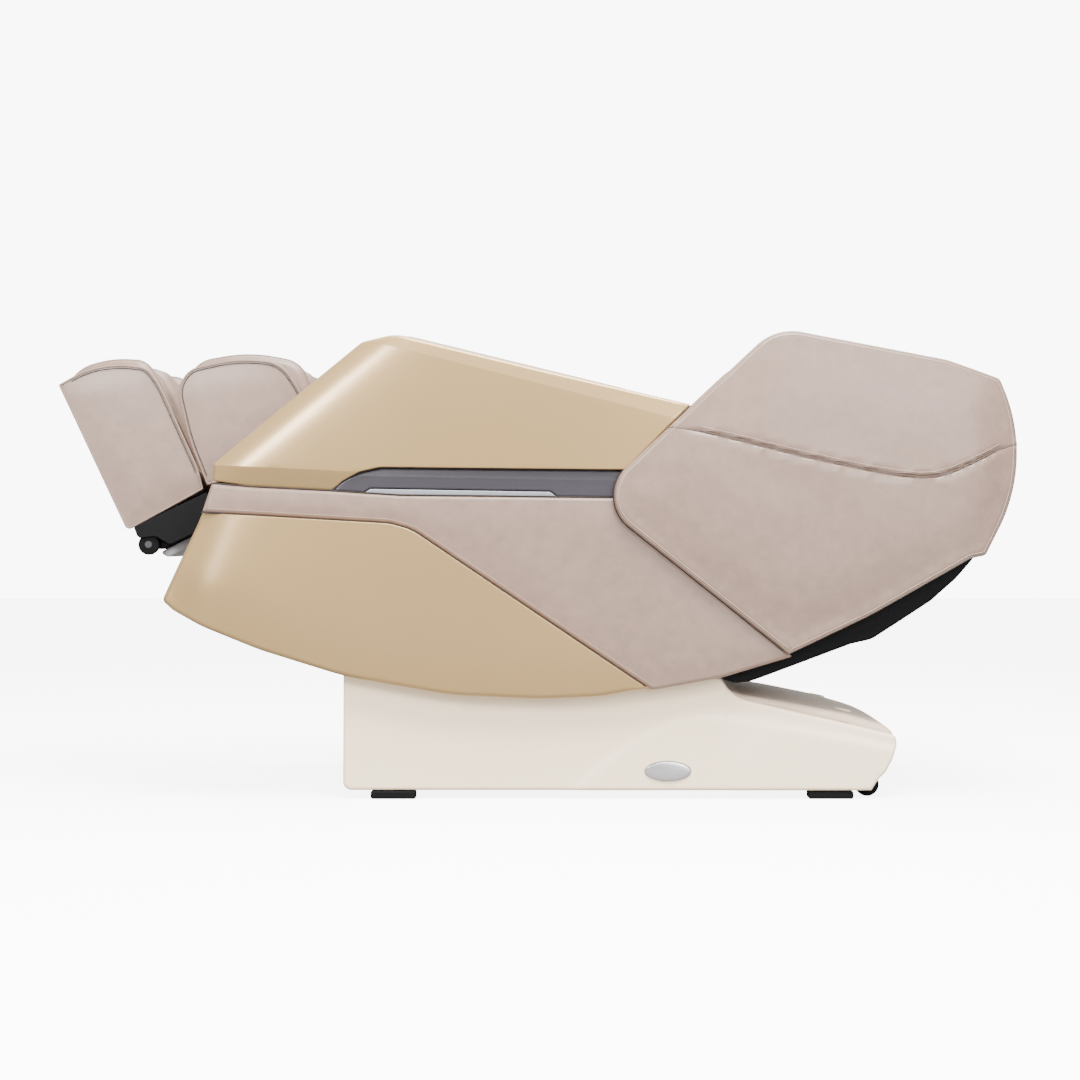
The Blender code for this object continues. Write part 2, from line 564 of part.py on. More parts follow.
def makeWing(side, s, hx, hz):
    shape = [(0.126, 0.610, 0.080), (0.493, 0.954, 0.104), (0.835, 0.888, 0.120),
             (0.942, 0.850, 0.012), (1.014, 0.694, 0.359), (0.914, 0.495, 0.012),
             (0.882, 0.489, 0.020), (0.683, 0.375, 0.599), (0.519, 0.297, 0.008)]
    wing = slab("wing_" + side, shape, s * (PANEL_OUT + WING_CLEARANCE), s * HALF, LEATHER, 0.008,
                (hx, 0.0, hz))
    block = [onBack(0.400, 0.0485), onBack(0.432, 0.240) + (0.04,), (0.560, 0.905, 0.06),
             (0.830, 0.866, 0.06), (0.918, 0.838, 0.04), (0.960, 0.740, 0.05),
             onBack(0.702, 0.0485) + (0.02,)]
    add(wing, slab("wing_block_" + side, block, s * (ARM_IN + 0.001),
                   s * (PANEL_OUT + WING_CLEARANCE + 0.004), None))


def makeMassage():
    """Carriage on the two rails, two kneading arms and four rollers."""
    cx, cz = drawn(*onBack(0.330, -0.067))
    body = [(0.285, -0.085), (0.375, -0.085), (0.375, -0.035), (0.285, -0.035)]
    carriage = backSlab("massage_carriage", body, -RAIL_TRACK - 0.022, RAIL_TRACK + 0.022, BLACK)
    carriage = recentre(carriage, (cx, 0.0, cz))
    low, high = drawn(*onBack(0.02, -0.067)), drawn(*onBack(0.70, -0.067))
    for side, s in sides():
        y = s * RAIL_TRACK
        cut(carriage, rod("rail_bore_" + side, (low[0], y, low[1]), (high[0], y, high[1]),
                          RAIL_RADIUS + 0.0025, None, 16))
        y0, y1 = s * 0.070, s * 0.082
        px, pz = drawn(*onBack(0.330, -0.016))
        add(carriage, backSlab("arm_lug_" + side, [(0.316, -0.040), (0.344, -0.040),
                               (0.344, -0.006, 0.01), (0.316, -0.006, 0.01)], s * 0.056, s * 0.068, None))
        add(carriage, across("arm_pin_" + side, px, pz, s * 0.060, s * 0.083, 0.005))
        arm = [(0.255, 0.004, 0.012), (0.280, 0.022, 0.01), (0.330, 0.010, 0.02), (0.380, 0.022, 0.01),
               (0.405, 0.004, 0.012), (0.385, -0.014, 0.01), (0.340, -0.028, 0.02),
               (0.320, -0.028, 0.02), (0.275, -0.014, 0.01)]
        lever = recentre(backSlab("knead_arm_" + side, arm, y0, y1, STEEL), (px, 0.0, pz))
        cut(lever, across("arm_pin_bore_" + side, px, pz, s * 0.050, s * 0.100,
                          0.005 + BORE_CLEARANCE))
        for end, b in (("lower", 0.275), ("upper", 0.385)):
            rx, rz = drawn(*onBack(b, 0.004))
            add(lever, across("roller_pin_%s_%s" % (end, side), rx, rz, s * 0.078,
                              s * (0.084 + ROLLER_TREAD), 0.004))
            roller = across("roller_%s_%s" % (end, side), rx, rz, s * 0.083,
                            s * (0.083 + ROLLER_TREAD), ROLLER_RADIUS, NYLON, 24, (rx, 0.0, rz))
            cut(roller, across("roller_bore_%s_%s" % (end, side), rx, rz, s * 0.07, s * 0.13,
                               0.004 + BORE_CLEARANCE))


def legSlab(name, points, y0, y1, spec, edge=0.0):
    shape = [onLeg(p[0], p[1]) + tuple(p[2:]) for p in points]
    return slab(name, shape, y0, y1, spec, edge, axis3(LEG_AXIS) if spec else (0, 0, 0))


def makeLegRest():
    hx, _, hz = axis3(LEG_AXIS)
    frame = [(-0.022, -0.016, 0.02), (0.010, -0.026, 0.01), (0.050, 0.014, 0.02), (0.226, 0.020),
             (0.229, 0.082, 0.004), (0.030, 0.048, 0.02), (-0.010, 0.026, 0.02)]
    legFrame = legSlab("leg_frame", frame, -LEG_FRAME_OUT, LEG_FRAME_OUT, BLACK)
    cut(legFrame, across("leg_bore", hx, hz, -LEG_OUT, LEG_OUT, SHAFT_RADIUS + BORE_CLEARANCE))
    for side, s in sides():
        cut(legFrame, sliderBar("slider_way_" + side, s, 0.075, 0.260, 0.0006))
    for index, y in enumerate((-EYE_HALF - EAR_GAP - EAR_DEPTH, EYE_HALF + EAR_GAP)):
        add(legFrame, legSlab("leg_ear_%d" % index, LEG_EAR, y, y + EAR_DEPTH, None))
    calf = [(-0.669, 0.641, 0.006), (-0.706, 0.734, 0.1), (-0.729, 0.838, 0.03), (-0.706, 0.876, 0.03),
            (-0.592, 0.903, 0.06), (-0.520, 0.892, 0.04), (-0.478, 0.836, 0.05), (-0.450, 0.760, 0.05),
            (-0.447, 0.708, 0.02)]
    pad = slab("calf_pad", calf, -LEG_OUT, LEG_OUT, LEATHER, 0.008, (hx, 0.0, hz))
    foot = [(-0.976, 0.848, 0.010), (-0.835, 0.547, 0.006), (-0.679, 0.632, 0.006),
            (-0.690, 0.676, 0.02), (-0.768, 0.844, 0.05), (-0.800, 0.880, 0.03), (-0.835, 0.885, 0.03),
            (-0.910, 0.880, 0.05)]
    block = slab("foot_pad", foot, -LEG_OUT, LEG_OUT, LEATHER, 0.008, (hx, 0.0, hz))
    middle = LEG_OUT / 2
    for side, s in sides():
        half = CALF_WELL * WELL_SCALE / 2
        well = [(-0.10, 0.220, 0.03), (0.04, 0.165, 0.08), (0.190, 0.165, 0.08), (0.30, 0.200, 0.03),
                (0.30, 0.60), (-0.10, 0.60)]
        cut(pad, legSlab("calf_well_" + side, well, s * middle - half, s * middle + half, None))
        half = FOOT_WELL * WELL_SCALE / 2
        well = [(0.15, 0.150), (0.370, 0.150, 0.02), (0.384, 0.60), (0.15, 0.60)]
        cut(block, legSlab("foot_well_" + side, well, s * middle - half, s * middle + half, None))
    tray = [(0.233, 0.024), (0.262, 0.020), (0.280, 0.004, 0.01), (0.372, 0.004, 0.01),
            (0.384, 0.030, 0.01), (0.407, 0.050, 0.01), (0.409, 0.0825, 0.004), (0.233, 0.086, 0.004)]
    sled = legSlab("foot_frame", tray, -LEG_FRAME_OUT, LEG_FRAME_OUT, BLACK)
    wx, wz = drawn(*onLeg(0.392, 0.042))
    for side, s in sides():
        add(sled, sliderBar("slider_" + side, s, 0.090, 0.260, 0.0))
        add(sled, across("leg_axle_" + side, wx, wz, s * (LEG_FRAME_OUT - 0.01),
                         s * (LEG_FRAME_OUT + 0.004 + LEG_WHEEL_TREAD), 0.004))
        wheel = across("leg_wheel_" + side, wx, wz, s * (LEG_FRAME_OUT + 0.003),
                       s * (LEG_FRAME_OUT + 0.003 + LEG_WHEEL_TREAD), LEG_WHEEL_RADIUS, RUBBER, 24,
                       (wx, 0.0, wz))
        cut(wheel, across("leg_wheel_bore_" + side, wx, wz, s * (LEG_FRAME_OUT - 0.02),
                          s * (LEG_OUT + 0.02), 0.004 + BORE_CLEARANCE))


def sliderBar(name, s, start, end, clear):
    y = s * 0.150
    half = SLIDER_HALF_N + clear
    shape = [(start, 0.042 - half), (end, 0.042 - half), (end, 0.042 + half), (start, 0.042 + half)]
    return legSlab(name, shape, y - SLIDER_HALF_Y - clear, y + SLIDER_HALF_Y + clear, None)


# Each actuator: name, its y, its fixed pivot and its moving pivot as drawn.
ACTUATORS = (
    ("leg_actuator", 0.0, (-0.055, 0.3850), onLeg(0.019, -0.076)),
    ("recline_actuator", RECLINE_DRIVE_Y, (-0.055, 0.3080), onBack(0.019, -0.106)),
    ("tilt_actuator", TILT_DRIVE_Y, (0.415, 0.0950), (0.200, 0.2720)),
)


def makeActuators():
    for name, y, fixed, moving in ACTUATORS:
        start = Vector((drawn(*fixed)[0], y, drawn(*fixed)[1]))
        end = Vector((drawn(*moving)[0], y, drawn(*moving)[1]))
        along = (end - start).normalized()
        reach = (end - start).length
        tube = rod(name + "_tube", start + along * 0.034, start + along * reach * 0.66, TUBE_RADIUS,
                   STEEL, 20, start)
        add(tube, rod(name + "_neck", start, start + along * 0.040, EYE_HALF - 0.0006, None, 16))
        add(tube, across(name + "_heel", start.x, start.z, y - EYE_HALF, y + EYE_HALF, EYE_RADIUS,
                         None, 16))
        cut(tube, rod(name + "_bore", start + along * 0.050, end, ROD_RADIUS + 0.0008, None, 16))
        cut(tube, across(name + "_heel_bore", start.x, start.z, y - 0.03, y + 0.03,
                         PIN_RADIUS + BORE_CLEARANCE, None, 12))
        bar = rod(name + "_rod", start + along * (reach - ROD_LENGTH), end, ROD_RADIUS, BRIGHT, 16, end)
        add(bar, across(name + "_eye", end.x, end.z, y - EYE_HALF, y + EYE_HALF, EYE_RADIUS, None, 16))
        cut(bar, across(name + "_eye_bore", end.x, end.z, y - 0.03, y + 0.03, EYE_BORE, None, 16))
    brackets()


def brackets():
    """Pins and ears that hold the actuators' ends."""
    frame = bpy.data.objects["seat_frame"]
    across_ = EYE_HALF + EAR_GAP
    ears = (("leg", ACTUATORS[0], 2, [(-0.106, 0.348), (-0.086, 0.340), (-0.036, 0.374, 0.012),
                                      (-0.046, 0.404, 0.012)]),
            ("recline", ACTUATORS[1], 2, [(-0.106, 0.352), (-0.084, 0.360), (-0.036, 0.314, 0.012),
                                          (-0.062, 0.288, 0.012)]),
            ("tilt", ACTUATORS[2], 3, [(0.158, 0.262), (0.158, 0.280), (0.214, 0.290, 0.012),
                                       (0.214, 0.254, 0.012)]))
    for name, act, end, shape in ears:
        y = act[1]
        for index, low in enumerate((y - across_ - EAR_DEPTH, y + across_)):
            add(frame, slab("seat_%s_ear_%d" % (name, index), shape, low, low + EAR_DEPTH, None))
        x, z = drawn(*act[end])
        add(frame, across("seat_%s_pin" % name, x, z, y - across_ - 0.002, y + across_ + 0.002,
                          PIN_RADIUS, None, 12))
    for owner, act, end in (("leg_frame", ACTUATORS[0], 3), ("back_frame", ACTUATORS[1], 3),
                            ("base_frame", ACTUATORS[2], 2)):
        x, z = drawn(*act[end])
        add(bpy.data.objects[owner], across(owner + "_pin", x, z, act[1] - across_ - 0.002,
                                            act[1] + across_ + 0.002, PIN_RADIUS, None, 12))


clearScene()
makeBase()
makeDeck()
makeSeat()
makeSidePanels()
makeKeys()
makeBack()
makeMassage()
makeLegRest()
makeActuators()
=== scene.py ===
import math

import bmesh
import bpy
import numpy as np
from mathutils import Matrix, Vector


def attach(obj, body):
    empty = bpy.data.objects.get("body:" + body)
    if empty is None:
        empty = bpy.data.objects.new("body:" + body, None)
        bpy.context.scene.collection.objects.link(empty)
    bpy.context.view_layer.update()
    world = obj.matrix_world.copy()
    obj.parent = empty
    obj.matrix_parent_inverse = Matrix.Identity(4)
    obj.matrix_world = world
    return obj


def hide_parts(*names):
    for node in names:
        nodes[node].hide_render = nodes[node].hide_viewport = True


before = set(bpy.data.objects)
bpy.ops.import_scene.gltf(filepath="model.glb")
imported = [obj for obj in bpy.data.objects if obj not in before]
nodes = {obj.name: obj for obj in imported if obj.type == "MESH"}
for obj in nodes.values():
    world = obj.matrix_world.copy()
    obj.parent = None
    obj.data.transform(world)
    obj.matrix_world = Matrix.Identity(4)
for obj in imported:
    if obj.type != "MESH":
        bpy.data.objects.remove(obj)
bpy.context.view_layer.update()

backAxis = (0.274, 0.405)
legAxis = (-0.422, 0.652)
backSlope = math.radians(21.0)
legSlope = math.radians(26.1)
layers = dict(wing=0.4095, wingIn=0.3892, panel=0.3865, panelIn=0.343, cheek=0.338, cheekIn=0.300,
              armIn=0.2685, cushion=0.2620, leg=0.2505)


def onLeg(a, n):
    c, s = math.cos(legSlope), math.sin(legSlope)
    return (legAxis[0] - a * c - n * s, legAxis[1] - a * s + n * c)


def onBack(b, m):
    c, s = math.cos(backSlope), math.sin(backSlope)
    return (backAxis[0] + b * c - m * s, backAxis[1] + b * s + m * c)


def newMaterial(name, colour, rough, metal=0.0, coat=0.0, coatRough=0.2, specular=0.5):
    mat = bpy.data.materials.new(name)
    mat.use_nodes = True
    bsdf = mat.node_tree.nodes["Principled BSDF"]
    bsdf.inputs["Base Color"].default_value = (*colour, 1.0)
    bsdf.inputs["Roughness"].default_value = rough
    bsdf.inputs["Metallic"].default_value = metal
    bsdf.inputs["Coat Weight"].default_value = coat
    bsdf.inputs["Coat Roughness"].default_value = coatRough
    bsdf.inputs["Specular IOR Level"].default_value = specular
    return mat, mat.node_tree, bsdf


def link(tree, a, out, b, into):
    tree.links.new(a.outputs[out], b.inputs[into])


def addNode(tree, kind, **values):
    node = tree.nodes.new(kind)
    for key, value in values.items():
        if hasattr(node, key):
            setattr(node, key, value)
        else:
            node.inputs[key.replace("_", " ")].default_value = value
    return node


# Soft, large-scale drift of colour and roughness
def varied(tree, bsdf, coords, colour, spread, scale, rough, roughSpread):
    noise = addNode(tree, "ShaderNodeTexNoise", Scale=scale, Detail=5.0, Roughness=0.6)
    link(tree, coords, "Object", noise, "Vector")
    ramp = addNode(tree, "ShaderNodeValToRGB")
    low = [max(0.0, c * (1.0 - spread)) for c in colour]
    high = [min(1.0, c * (1.0 + spread)) for c in colour]
    ramp.color_ramp.elements[0].position = 0.3
    ramp.color_ramp.elements[1].position = 0.7
    ramp.color_ramp.elements[0].color = (*low, 1.0)
    ramp.color_ramp.elements[1].color = (*high, 1.0)
    link(tree, noise, "Fac", ramp, "Fac")
    link(tree, ramp, "Color", bsdf, "Base Color")
    spanNode = addNode(tree, "ShaderNodeMapRange")
    spanNode.inputs["To Min"].default_value = rough - roughSpread
    spanNode.inputs["To Max"].default_value = rough + roughSpread
    link(tree, noise, "Fac", spanNode, "Value")
    link(tree, spanNode, "Result", bsdf, "Roughness")
    return noise


def leather(name, colour, rough=0.42, grain=430.0, depth=0.00022):
    mat, tree, bsdf = newMaterial(name, colour, rough, specular=0.5)
    coords = addNode(tree, "ShaderNodeTexCoord")
    varied(tree, bsdf, coords, colour, 0.085, 38.0, rough, 0.05)
    cells = addNode(tree, "ShaderNodeTexVoronoi", Scale=grain)
    cells.feature = "DISTANCE_TO_EDGE"
    link(tree, coords, "Object", cells, "Vector")
    pores = addNode(tree, "ShaderNodeTexNoise", Scale=grain * 2.2, Detail=3.0)
    link(tree, coords, "Object", pores, "Vector")
    slack = addNode(tree, "ShaderNodeTexNoise", Scale=9.0, Detail=3.0, Roughness=0.5)
    link(tree, coords, "Object", slack, "Vector")
    first = addNode(tree, "ShaderNodeBump", Strength=0.55, Distance=depth)
    link(tree, cells, "Distance", first, "Height")
    second = addNode(tree, "ShaderNodeBump", Strength=0.35, Distance=depth)
    link(tree, pores, "Fac", second, "Height")
    link(tree, first, "Normal", second, "Normal")
    third = addNode(tree, "ShaderNodeBump", Strength=0.45, Distance=0.0035)
    link(tree, slack, "Fac", third, "Height")
    link(tree, second, "Normal", third, "Normal")
    link(tree, third, "Normal", bsdf, "Normal")
    return mat


def moulding(name, colour, rough, metal=0.0, coat=0.0, coatRough=0.15, grain=900.0, depth=0.00006,
             specular=0.5):
    mat, tree, bsdf = newMaterial(name, colour, rough, metal, coat, coatRough, specular)
    coords = addNode(tree, "ShaderNodeTexCoord")
    varied(tree, bsdf, coords, colour, 0.02, 2.0, rough, 0.03)
    fine = addNode(tree, "ShaderNodeTexNoise", Scale=grain, Detail=2.0)
    link(tree, coords, "Object", fine, "Vector")
    wave = addNode(tree, "ShaderNodeTexNoise", Scale=6.0, Detail=1.0)
    link(tree, coords, "Object", wave, "Vector")
    first = addNode(tree, "ShaderNodeBump", Strength=0.5, Distance=depth)
    link(tree, fine, "Fac", first, "Height")
    second = addNode(tree, "ShaderNodeBump", Strength=0.3, Distance=0.0008)
    link(tree, wave, "Fac", second, "Height")
    link(tree, first, "Normal", second, "Normal")
    link(tree, second, "Normal", bsdf, "Normal")
    return mat


looks = dict(
    leather=leather("leather", (0.212, 0.142, 0.110), 0.36),
    leatherDark=leather("leatherInner", (0.190, 0.126, 0.098), 0.42),
    piping=leather("leatherPiping", (0.212, 0.142, 0.110), grain=700.0),
    # seamDark: painted shadow, laid as dark cords along panel gaps and seams
    seamDark=moulding("seamShadow", (0.020, 0.014, 0.012), 0.8),
    # seamBrown: painted shade along the wing's seam groove
    seamBrown=moulding("seamBrown", (0.090, 0.058, 0.045), 0.7),
    thread=moulding("thread", (0.400, 0.300, 0.240), 0.7),
    gold=moulding("goldPaint", (0.345, 0.226, 0.094), 0.30, 0.35, 0.30, 0.18),
    cream=moulding("creamPlastic", (0.985, 0.805, 0.575), 0.36, coat=0.15),
    # deck: a darker copy of the cream plastic, painted shade for the deck that the light only grazes
    deck=moulding("deckPlastic", (0.700, 0.540, 0.420), 0.42),
    trim=moulding("greyTrim", (0.036, 0.032, 0.041), 0.36, 0.30, 0.1),
    light=moulding("lightStrip", (0.21, 0.222, 0.245), 0.28, coat=0.3),
    black=moulding("blackPlastic", (0.0025, 0.0025, 0.003), 0.60, specular=0.12),
    steel=moulding("blackSteel", (0.035, 0.035, 0.038), 0.45, 0.6),
    bright=moulding("brightSteel", (0.60, 0.61, 0.63), 0.25, 1.0),
    rubber=moulding("blackRubber", (0.004, 0.004, 0.004), 0.8, depth=0.0002, specular=0.12),
    nylon=moulding("greyNylon", (0.30, 0.30, 0.31), 0.5),
    badge=moulding("badgeSilver", (0.62, 0.62, 0.64), 0.26, 0.9),
    badgeRim=moulding("badgeRim", (0.33, 0.33, 0.34), 0.3, 0.8),
    lamp=moulding("keyWhite", (0.75, 0.76, 0.78), 0.5),
)


# Line of (x, z) or (x, z, radius) points with arcs at its corners, evenly divided
def rounded(points, fine=0.006, closed=True):
    pts = [Vector(p[:2]) for p in points]
    radii = [p[2] if len(p) > 2 else 0.0 for p in points]
    out = []
    for i, here in enumerate(pts):
        nextOne = (i + 1) % len(pts)
        before, after = pts[i - 1] - here, pts[nextOne] - here
        if radii[i] <= 0.0:
            out.append(here)
            continue
        half = before.angle(after) / 2
        reach = radii[i] / max(math.tan(half), 1e-6)
        share = [radii[i] / (radii[i] + other) for other in (radii[i - 1], radii[nextOne])]
        reach = min(reach, before.length * share[0] * 0.98, after.length * share[1] * 0.98)
        radius = reach * math.tan(half)
        start, end = here + before.normalized() * reach, here + after.normalized() * reach
        turn = math.pi - 2 * half
        steps = max(2, int(math.ceil(radius * turn / fine)), int(turn / 0.14))
        middle = here + (before.normalized() + after.normalized()).normalized() * radius / math.sin(half)
        spoke = start - middle
        way = 1.0 if spoke.x * (end - middle).y - spoke.y * (end - middle).x > 0 else -1.0
        for k in range(steps + 1):
            t = way * turn * k / steps
            out.append(middle + Vector((spoke.x * math.cos(t) - spoke.y * math.sin(t),
                                        spoke.x * math.sin(t) + spoke.y * math.cos(t))))
    return divided(out, fine * 1.6, closed)


# The same line with no stretch longer than step and no doubled points
def divided(points, step, closed=False):
    out = []
    count = len(points)
    for i in range(count if closed else count - 1):
        a, b = Vector(points[i]), Vector(points[(i + 1) % count])
        parts = max(1, int(math.ceil((b - a).length / step)))
        for k in range(parts):
            p = a.lerp(b, k / parts)
            if not out or (p - out[-1]).length > 3e-4:
                out.append(p)
    if not closed:
        out.append(Vector(points[-1]))
    elif (out[0] - out[-1]).length < 3e-4:
        out.pop()
    return out


def area(outline):
    return sum(p.x * q.y - q.x * p.y for p, q in zip(outline, outline[1:] + outline[:1]))


def inset(outline, gap):
    sign = 1.0 if area(outline) > 0 else -1.0
    count = len(outline)
    gaps = [gap] * count if isinstance(gap, float) else list(gap)
    moved = []
    for i, here in enumerate(outline):
        gap = gaps[i]
        d1 = (here - outline[i - 1]).normalized()
        d2 = (outline[(i + 1) % count] - here).normalized()
        n1 = Vector((-d1.y, d1.x)) * sign
        n2 = Vector((-d2.y, d2.x)) * sign
        middle = n1 + n2
        if middle.length < 1e-5:
            moved.append(here + n1 * gap)
            continue
        middle.normalize()
        moved.append(here + middle * gap / max(middle.dot(n1), 0.5))
    return moved


# Shortest distance of each (x, z) point from a line of points
def distanceTo(points, line, closed=False):
    pts = np.asarray([(p[0], p[1]) for p in points], float)
    path = [(p[0], p[1]) for p in line] + ([(line[0][0], line[0][1])] if closed else [])
    best = np.full(len(pts), 1e9)
    for a, b in zip(path, path[1:]):
        a, b = np.array(a), np.array(b)
        d = b - a
        size = max(float(d @ d), 1e-12)
        t = np.clip(((pts - a) @ d) / size, 0.0, 1.0)
        gap = pts - (a + t[:, None] * d)
        best = np.minimum(best, np.hypot(gap[:, 0], gap[:, 1]))
    return best


# Signed distance of points from the line a-b, positive on its left
def beyond(points, a, b):
    pts = np.asarray([(p[0], p[1]) for p in points], float)
    d = np.array(b, float) - np.array(a, float)
    d /= np.hypot(*d)
    return d[0] * (pts[:, 1] - a[1]) - d[1] * (pts[:, 0] - a[0])


# Smooth version of max(0, value)
def ease(value, width):
    return 0.5 * (value + np.sqrt(value * value + width * width)) - width * 0.5


def cleanInset(outline, gap):
    moved = inset(outline, gap)
    reach = distanceTo(moved, outline, True)
    gaps = np.full(len(moved), gap) if isinstance(gap, float) else np.array(gap)
    bad = reach < gaps * 0.97 - 1e-6
    if not bad.any() or bad.all():
        return moved
    count = len(moved)
    out = list(moved)
    for i in np.flatnonzero(bad):  # crossed points at tight corners close up to their good neighbours
        before = next(moved[(i - k) % count] for k in range(1, count) if not bad[(i - k) % count])
        after = next(moved[(i + k) % count] for k in range(1, count) if not bad[(i + k) % count])
        out[i] = (before + after) / 2
    return out


def finishMesh(name, bm, look, body, smoothAngle=40.0, folds=()):
    bmesh.ops.recalc_face_normals(bm, faces=bm.faces)
    mesh = bpy.data.meshes.new(name)
    bm.to_mesh(mesh)
    bm.free()
    for face in mesh.polygons:
        face.use_smooth = True
    mesh.set_sharp_from_angle(angle=math.radians(smoothAngle))
    for a, b in folds:
        near = np.abs(beyond([(v.co.x, v.co.z) for v in mesh.vertices], a, b)) < 2e-5
        for edge in mesh.edges:
            if near[edge.vertices[0]] and near[edge.vertices[1]]:
                edge.use_edge_sharp = True
    obj = bpy.data.objects.new(name, mesh)
    bpy.context.scene.collection.objects.link(obj)
    mesh.materials.append(looks[look])
    if body is not None:
        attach(obj, body)
    return obj


# Divide faces by planes square to x and z so that they can be shaped
def gridCut(bm, faces, step, low, high):
    for axis in (0, 2):
        at = math.ceil(low[axis] / step) * step
        while at < high[axis]:
            geom = faces + [e for f in faces for e in f.edges] + [v for f in faces for v in f.verts]
            geom = list(dict.fromkeys(geom))
            where, normal = [0.0, 0.0, 0.0], [0.0, 0.0, 0.0]
            where[axis], normal[axis] = at, 1.0
            cut = bmesh.ops.bisect_plane(bm, geom=geom, dist=1e-6, plane_co=where, plane_no=normal)
            faces = [g for g in cut["geom"] if isinstance(g, bmesh.types.BMFace)]
            at += step
    return faces


def plate(name, outline, inner, outer, look, body, edge=0.006, relief=None, step=0.012, gap=0.0008,
          side=1.0, backEdge=0.0, rings=7, rollAt=None, folds=()):
    shape = inset(outline, gap) if gap else outline
    rolls = [rollAt(p) if rollAt else edge for p in shape]  # roll radius at each point of the border
    bm = bmesh.new()
    loops = []
    if backEdge > 0.0:
        for k in range(4):
            t = math.pi / 2 * k / 4
            loops.append((cleanInset(shape, backEdge * (1 - math.sin(t))),
                          [inner + backEdge * (1 - math.cos(t))] * len(shape)))
    else:
        loops.append((shape, [inner] * len(shape)))
    for k in range(rings + 1):
        t = math.pi / 2 * k / rings
        loops.append((cleanInset(shape, [r * (1 - math.cos(t)) for r in rolls]),
                      [outer - r + r * math.sin(t) for r in rolls]))
    for extra in (0.2, 0.5):
        loops.append((cleanInset(shape, [r * (1 + extra) for r in rolls]), [outer] * len(shape)))
    rows = [[bm.verts.new((p.x, y, p.y)) for p, y in zip(loop, heights)] for loop, heights in loops]
    for one, two in zip(rows, rows[1:]):
        for i in range(len(one)):
            j = (i + 1) % len(one)
            bm.faces.new((one[i], one[j], two[j], two[i]))
    bm.faces.new(rows[0])
    cap = bm.faces.new(rows[-1])
    low = [min(v.co[k] for v in cap.verts) for k in range(3)]
    high = [max(v.co[k] for v in cap.verts) for k in range(3)]
    capFaces = gridCut(bm, [cap], step, low, high)
    for a, b in folds:
        geom = capFaces + [e for f in capFaces for e in f.edges] + [v for f in capFaces for v in f.verts]
        cut = bmesh.ops.bisect_plane(bm, geom=list(dict.fromkeys(geom)), dist=1e-6,
                                     plane_co=(a[0], 0.0, a[1]), plane_no=(b[1] - a[1], 0.0, a[0] - b[0]))
        capFaces = [g for g in cut["geom"] if isinstance(g, bmesh.types.BMFace)]
    bmesh.ops.triangulate(bm, faces=[f for f in capFaces if len(f.verts) > 4])
    if relief is not None:
        verts = [v for v in bm.verts if v.co.y > outer - max(rolls) - 1e-5]
        pts = [(v.co.x, v.co.z) for v in verts]
        depth = distanceTo(pts, shape, True)
        for v, shift in zip(verts, relief(pts, depth)):
            v.co.y += shift
    for v in bm.verts:
        v.co.y *= side
    return finishMesh(name, bm, look, body, folds=folds)


# Round cord of leather or metal along a line of 3-D points; the dark cords along seams and panel gaps are
# painted shade
def tube(name, path, radius, look, body, closed=True, sides=8):
    curve = bpy.data.curves.new(name, "CURVE")
    curve.dimensions = "3D"
    curve.bevel_depth = radius
    curve.bevel_resolution = max(1, sides // 4)
    curve.use_fill_caps = not closed
    spline = curve.splines.new("POLY")
    spline.points.add(len(path) - 1)
    for point, p in zip(spline.points, path):
        point.co = (p[0], p[1], p[2], 1.0)
    spline.use_cyclic_u = closed
    holder = bpy.data.objects.new(name + "Path", curve)
    bpy.context.scene.collection.objects.link(holder)
    bpy.context.view_layer.update()
    mesh = bpy.data.meshes.new_from_object(holder.evaluated_get(bpy.context.evaluated_depsgraph_get()))
    bpy.data.objects.remove(holder)
    bm = bmesh.new()
    bm.from_mesh(mesh)
    bmesh.ops.remove_doubles(bm, verts=bm.verts, dist=1e-6)
    return finishMesh(name, bm, look, body, 70.0)


# Row of short raised threads along a line of 3-D points
def stitches(name, path, look, body, length=0.0034, pitch=0.0052, radius=0.0006):
    bm = bmesh.new()
    carried = 0.0
    for a, b in zip(path, path[1:]):
        a, b = Vector(a), Vector(b)
        run = (b - a).length
        if run < 1e-6:
            continue
        along = (b - a) / run
        at = pitch - carried
        while at < run:
            made = bmesh.ops.create_cone(bm, cap_ends=True, segments=6, radius1=radius,
                                         radius2=radius, depth=length)
            turn = along.to_track_quat("Z", "Y").to_matrix().to_4x4()
            bmesh.ops.transform(bm, matrix=turn, verts=made["verts"])
            bmesh.ops.translate(bm, verts=made["verts"], vec=a + along * at)
            at += pitch
        carried = run - (at - pitch)
    return finishMesh(name, bm, look, body, 70.0)


# Padded block: a rounded box in (u, v, w), shaped, then set in place by a mapping
def cushion(name, size, place, look, body, radius=0.02, cuts=(28, 28, 8), shape=None):
    half = [s / 2 for s in size]
    bm = bmesh.new()
    bmesh.ops.create_cube(bm, size=2.0)
    for axis in range(3):
        count = cuts[axis]
        for k in range(1, count):
            t = k / count
            at = -math.cos(math.pi * t) * 0.35 + (2 * t - 1) * 0.65
            where, normal = [0.0, 0.0, 0.0], [0.0, 0.0, 0.0]
            where[axis], normal[axis] = at, 1.0
            bmesh.ops.bisect_plane(bm, geom=bm.verts[:] + bm.edges[:] + bm.faces[:], dist=1e-6,
                                   plane_co=where, plane_no=normal)
    for v in bm.verts:
        full = Vector([v.co[k] * half[k] for k in range(3)])
        core = Vector([max(-(half[k] - radius), min(half[k] - radius, full[k])) for k in range(3)])
        away = full - core
        if away.length > 1e-7:
            full = core + away.normalized() * min(radius, max(abs(part) for part in away))
        if shape is not None:
            full = Vector(shape(full, half))
        v.co = Vector(place(full))
    return finishMesh(name, bm, look, body, 60.0)


def bothSides():
    return (("Left", "left", -1.0), ("Right", "right", 1.0))


print("stage: side panels")

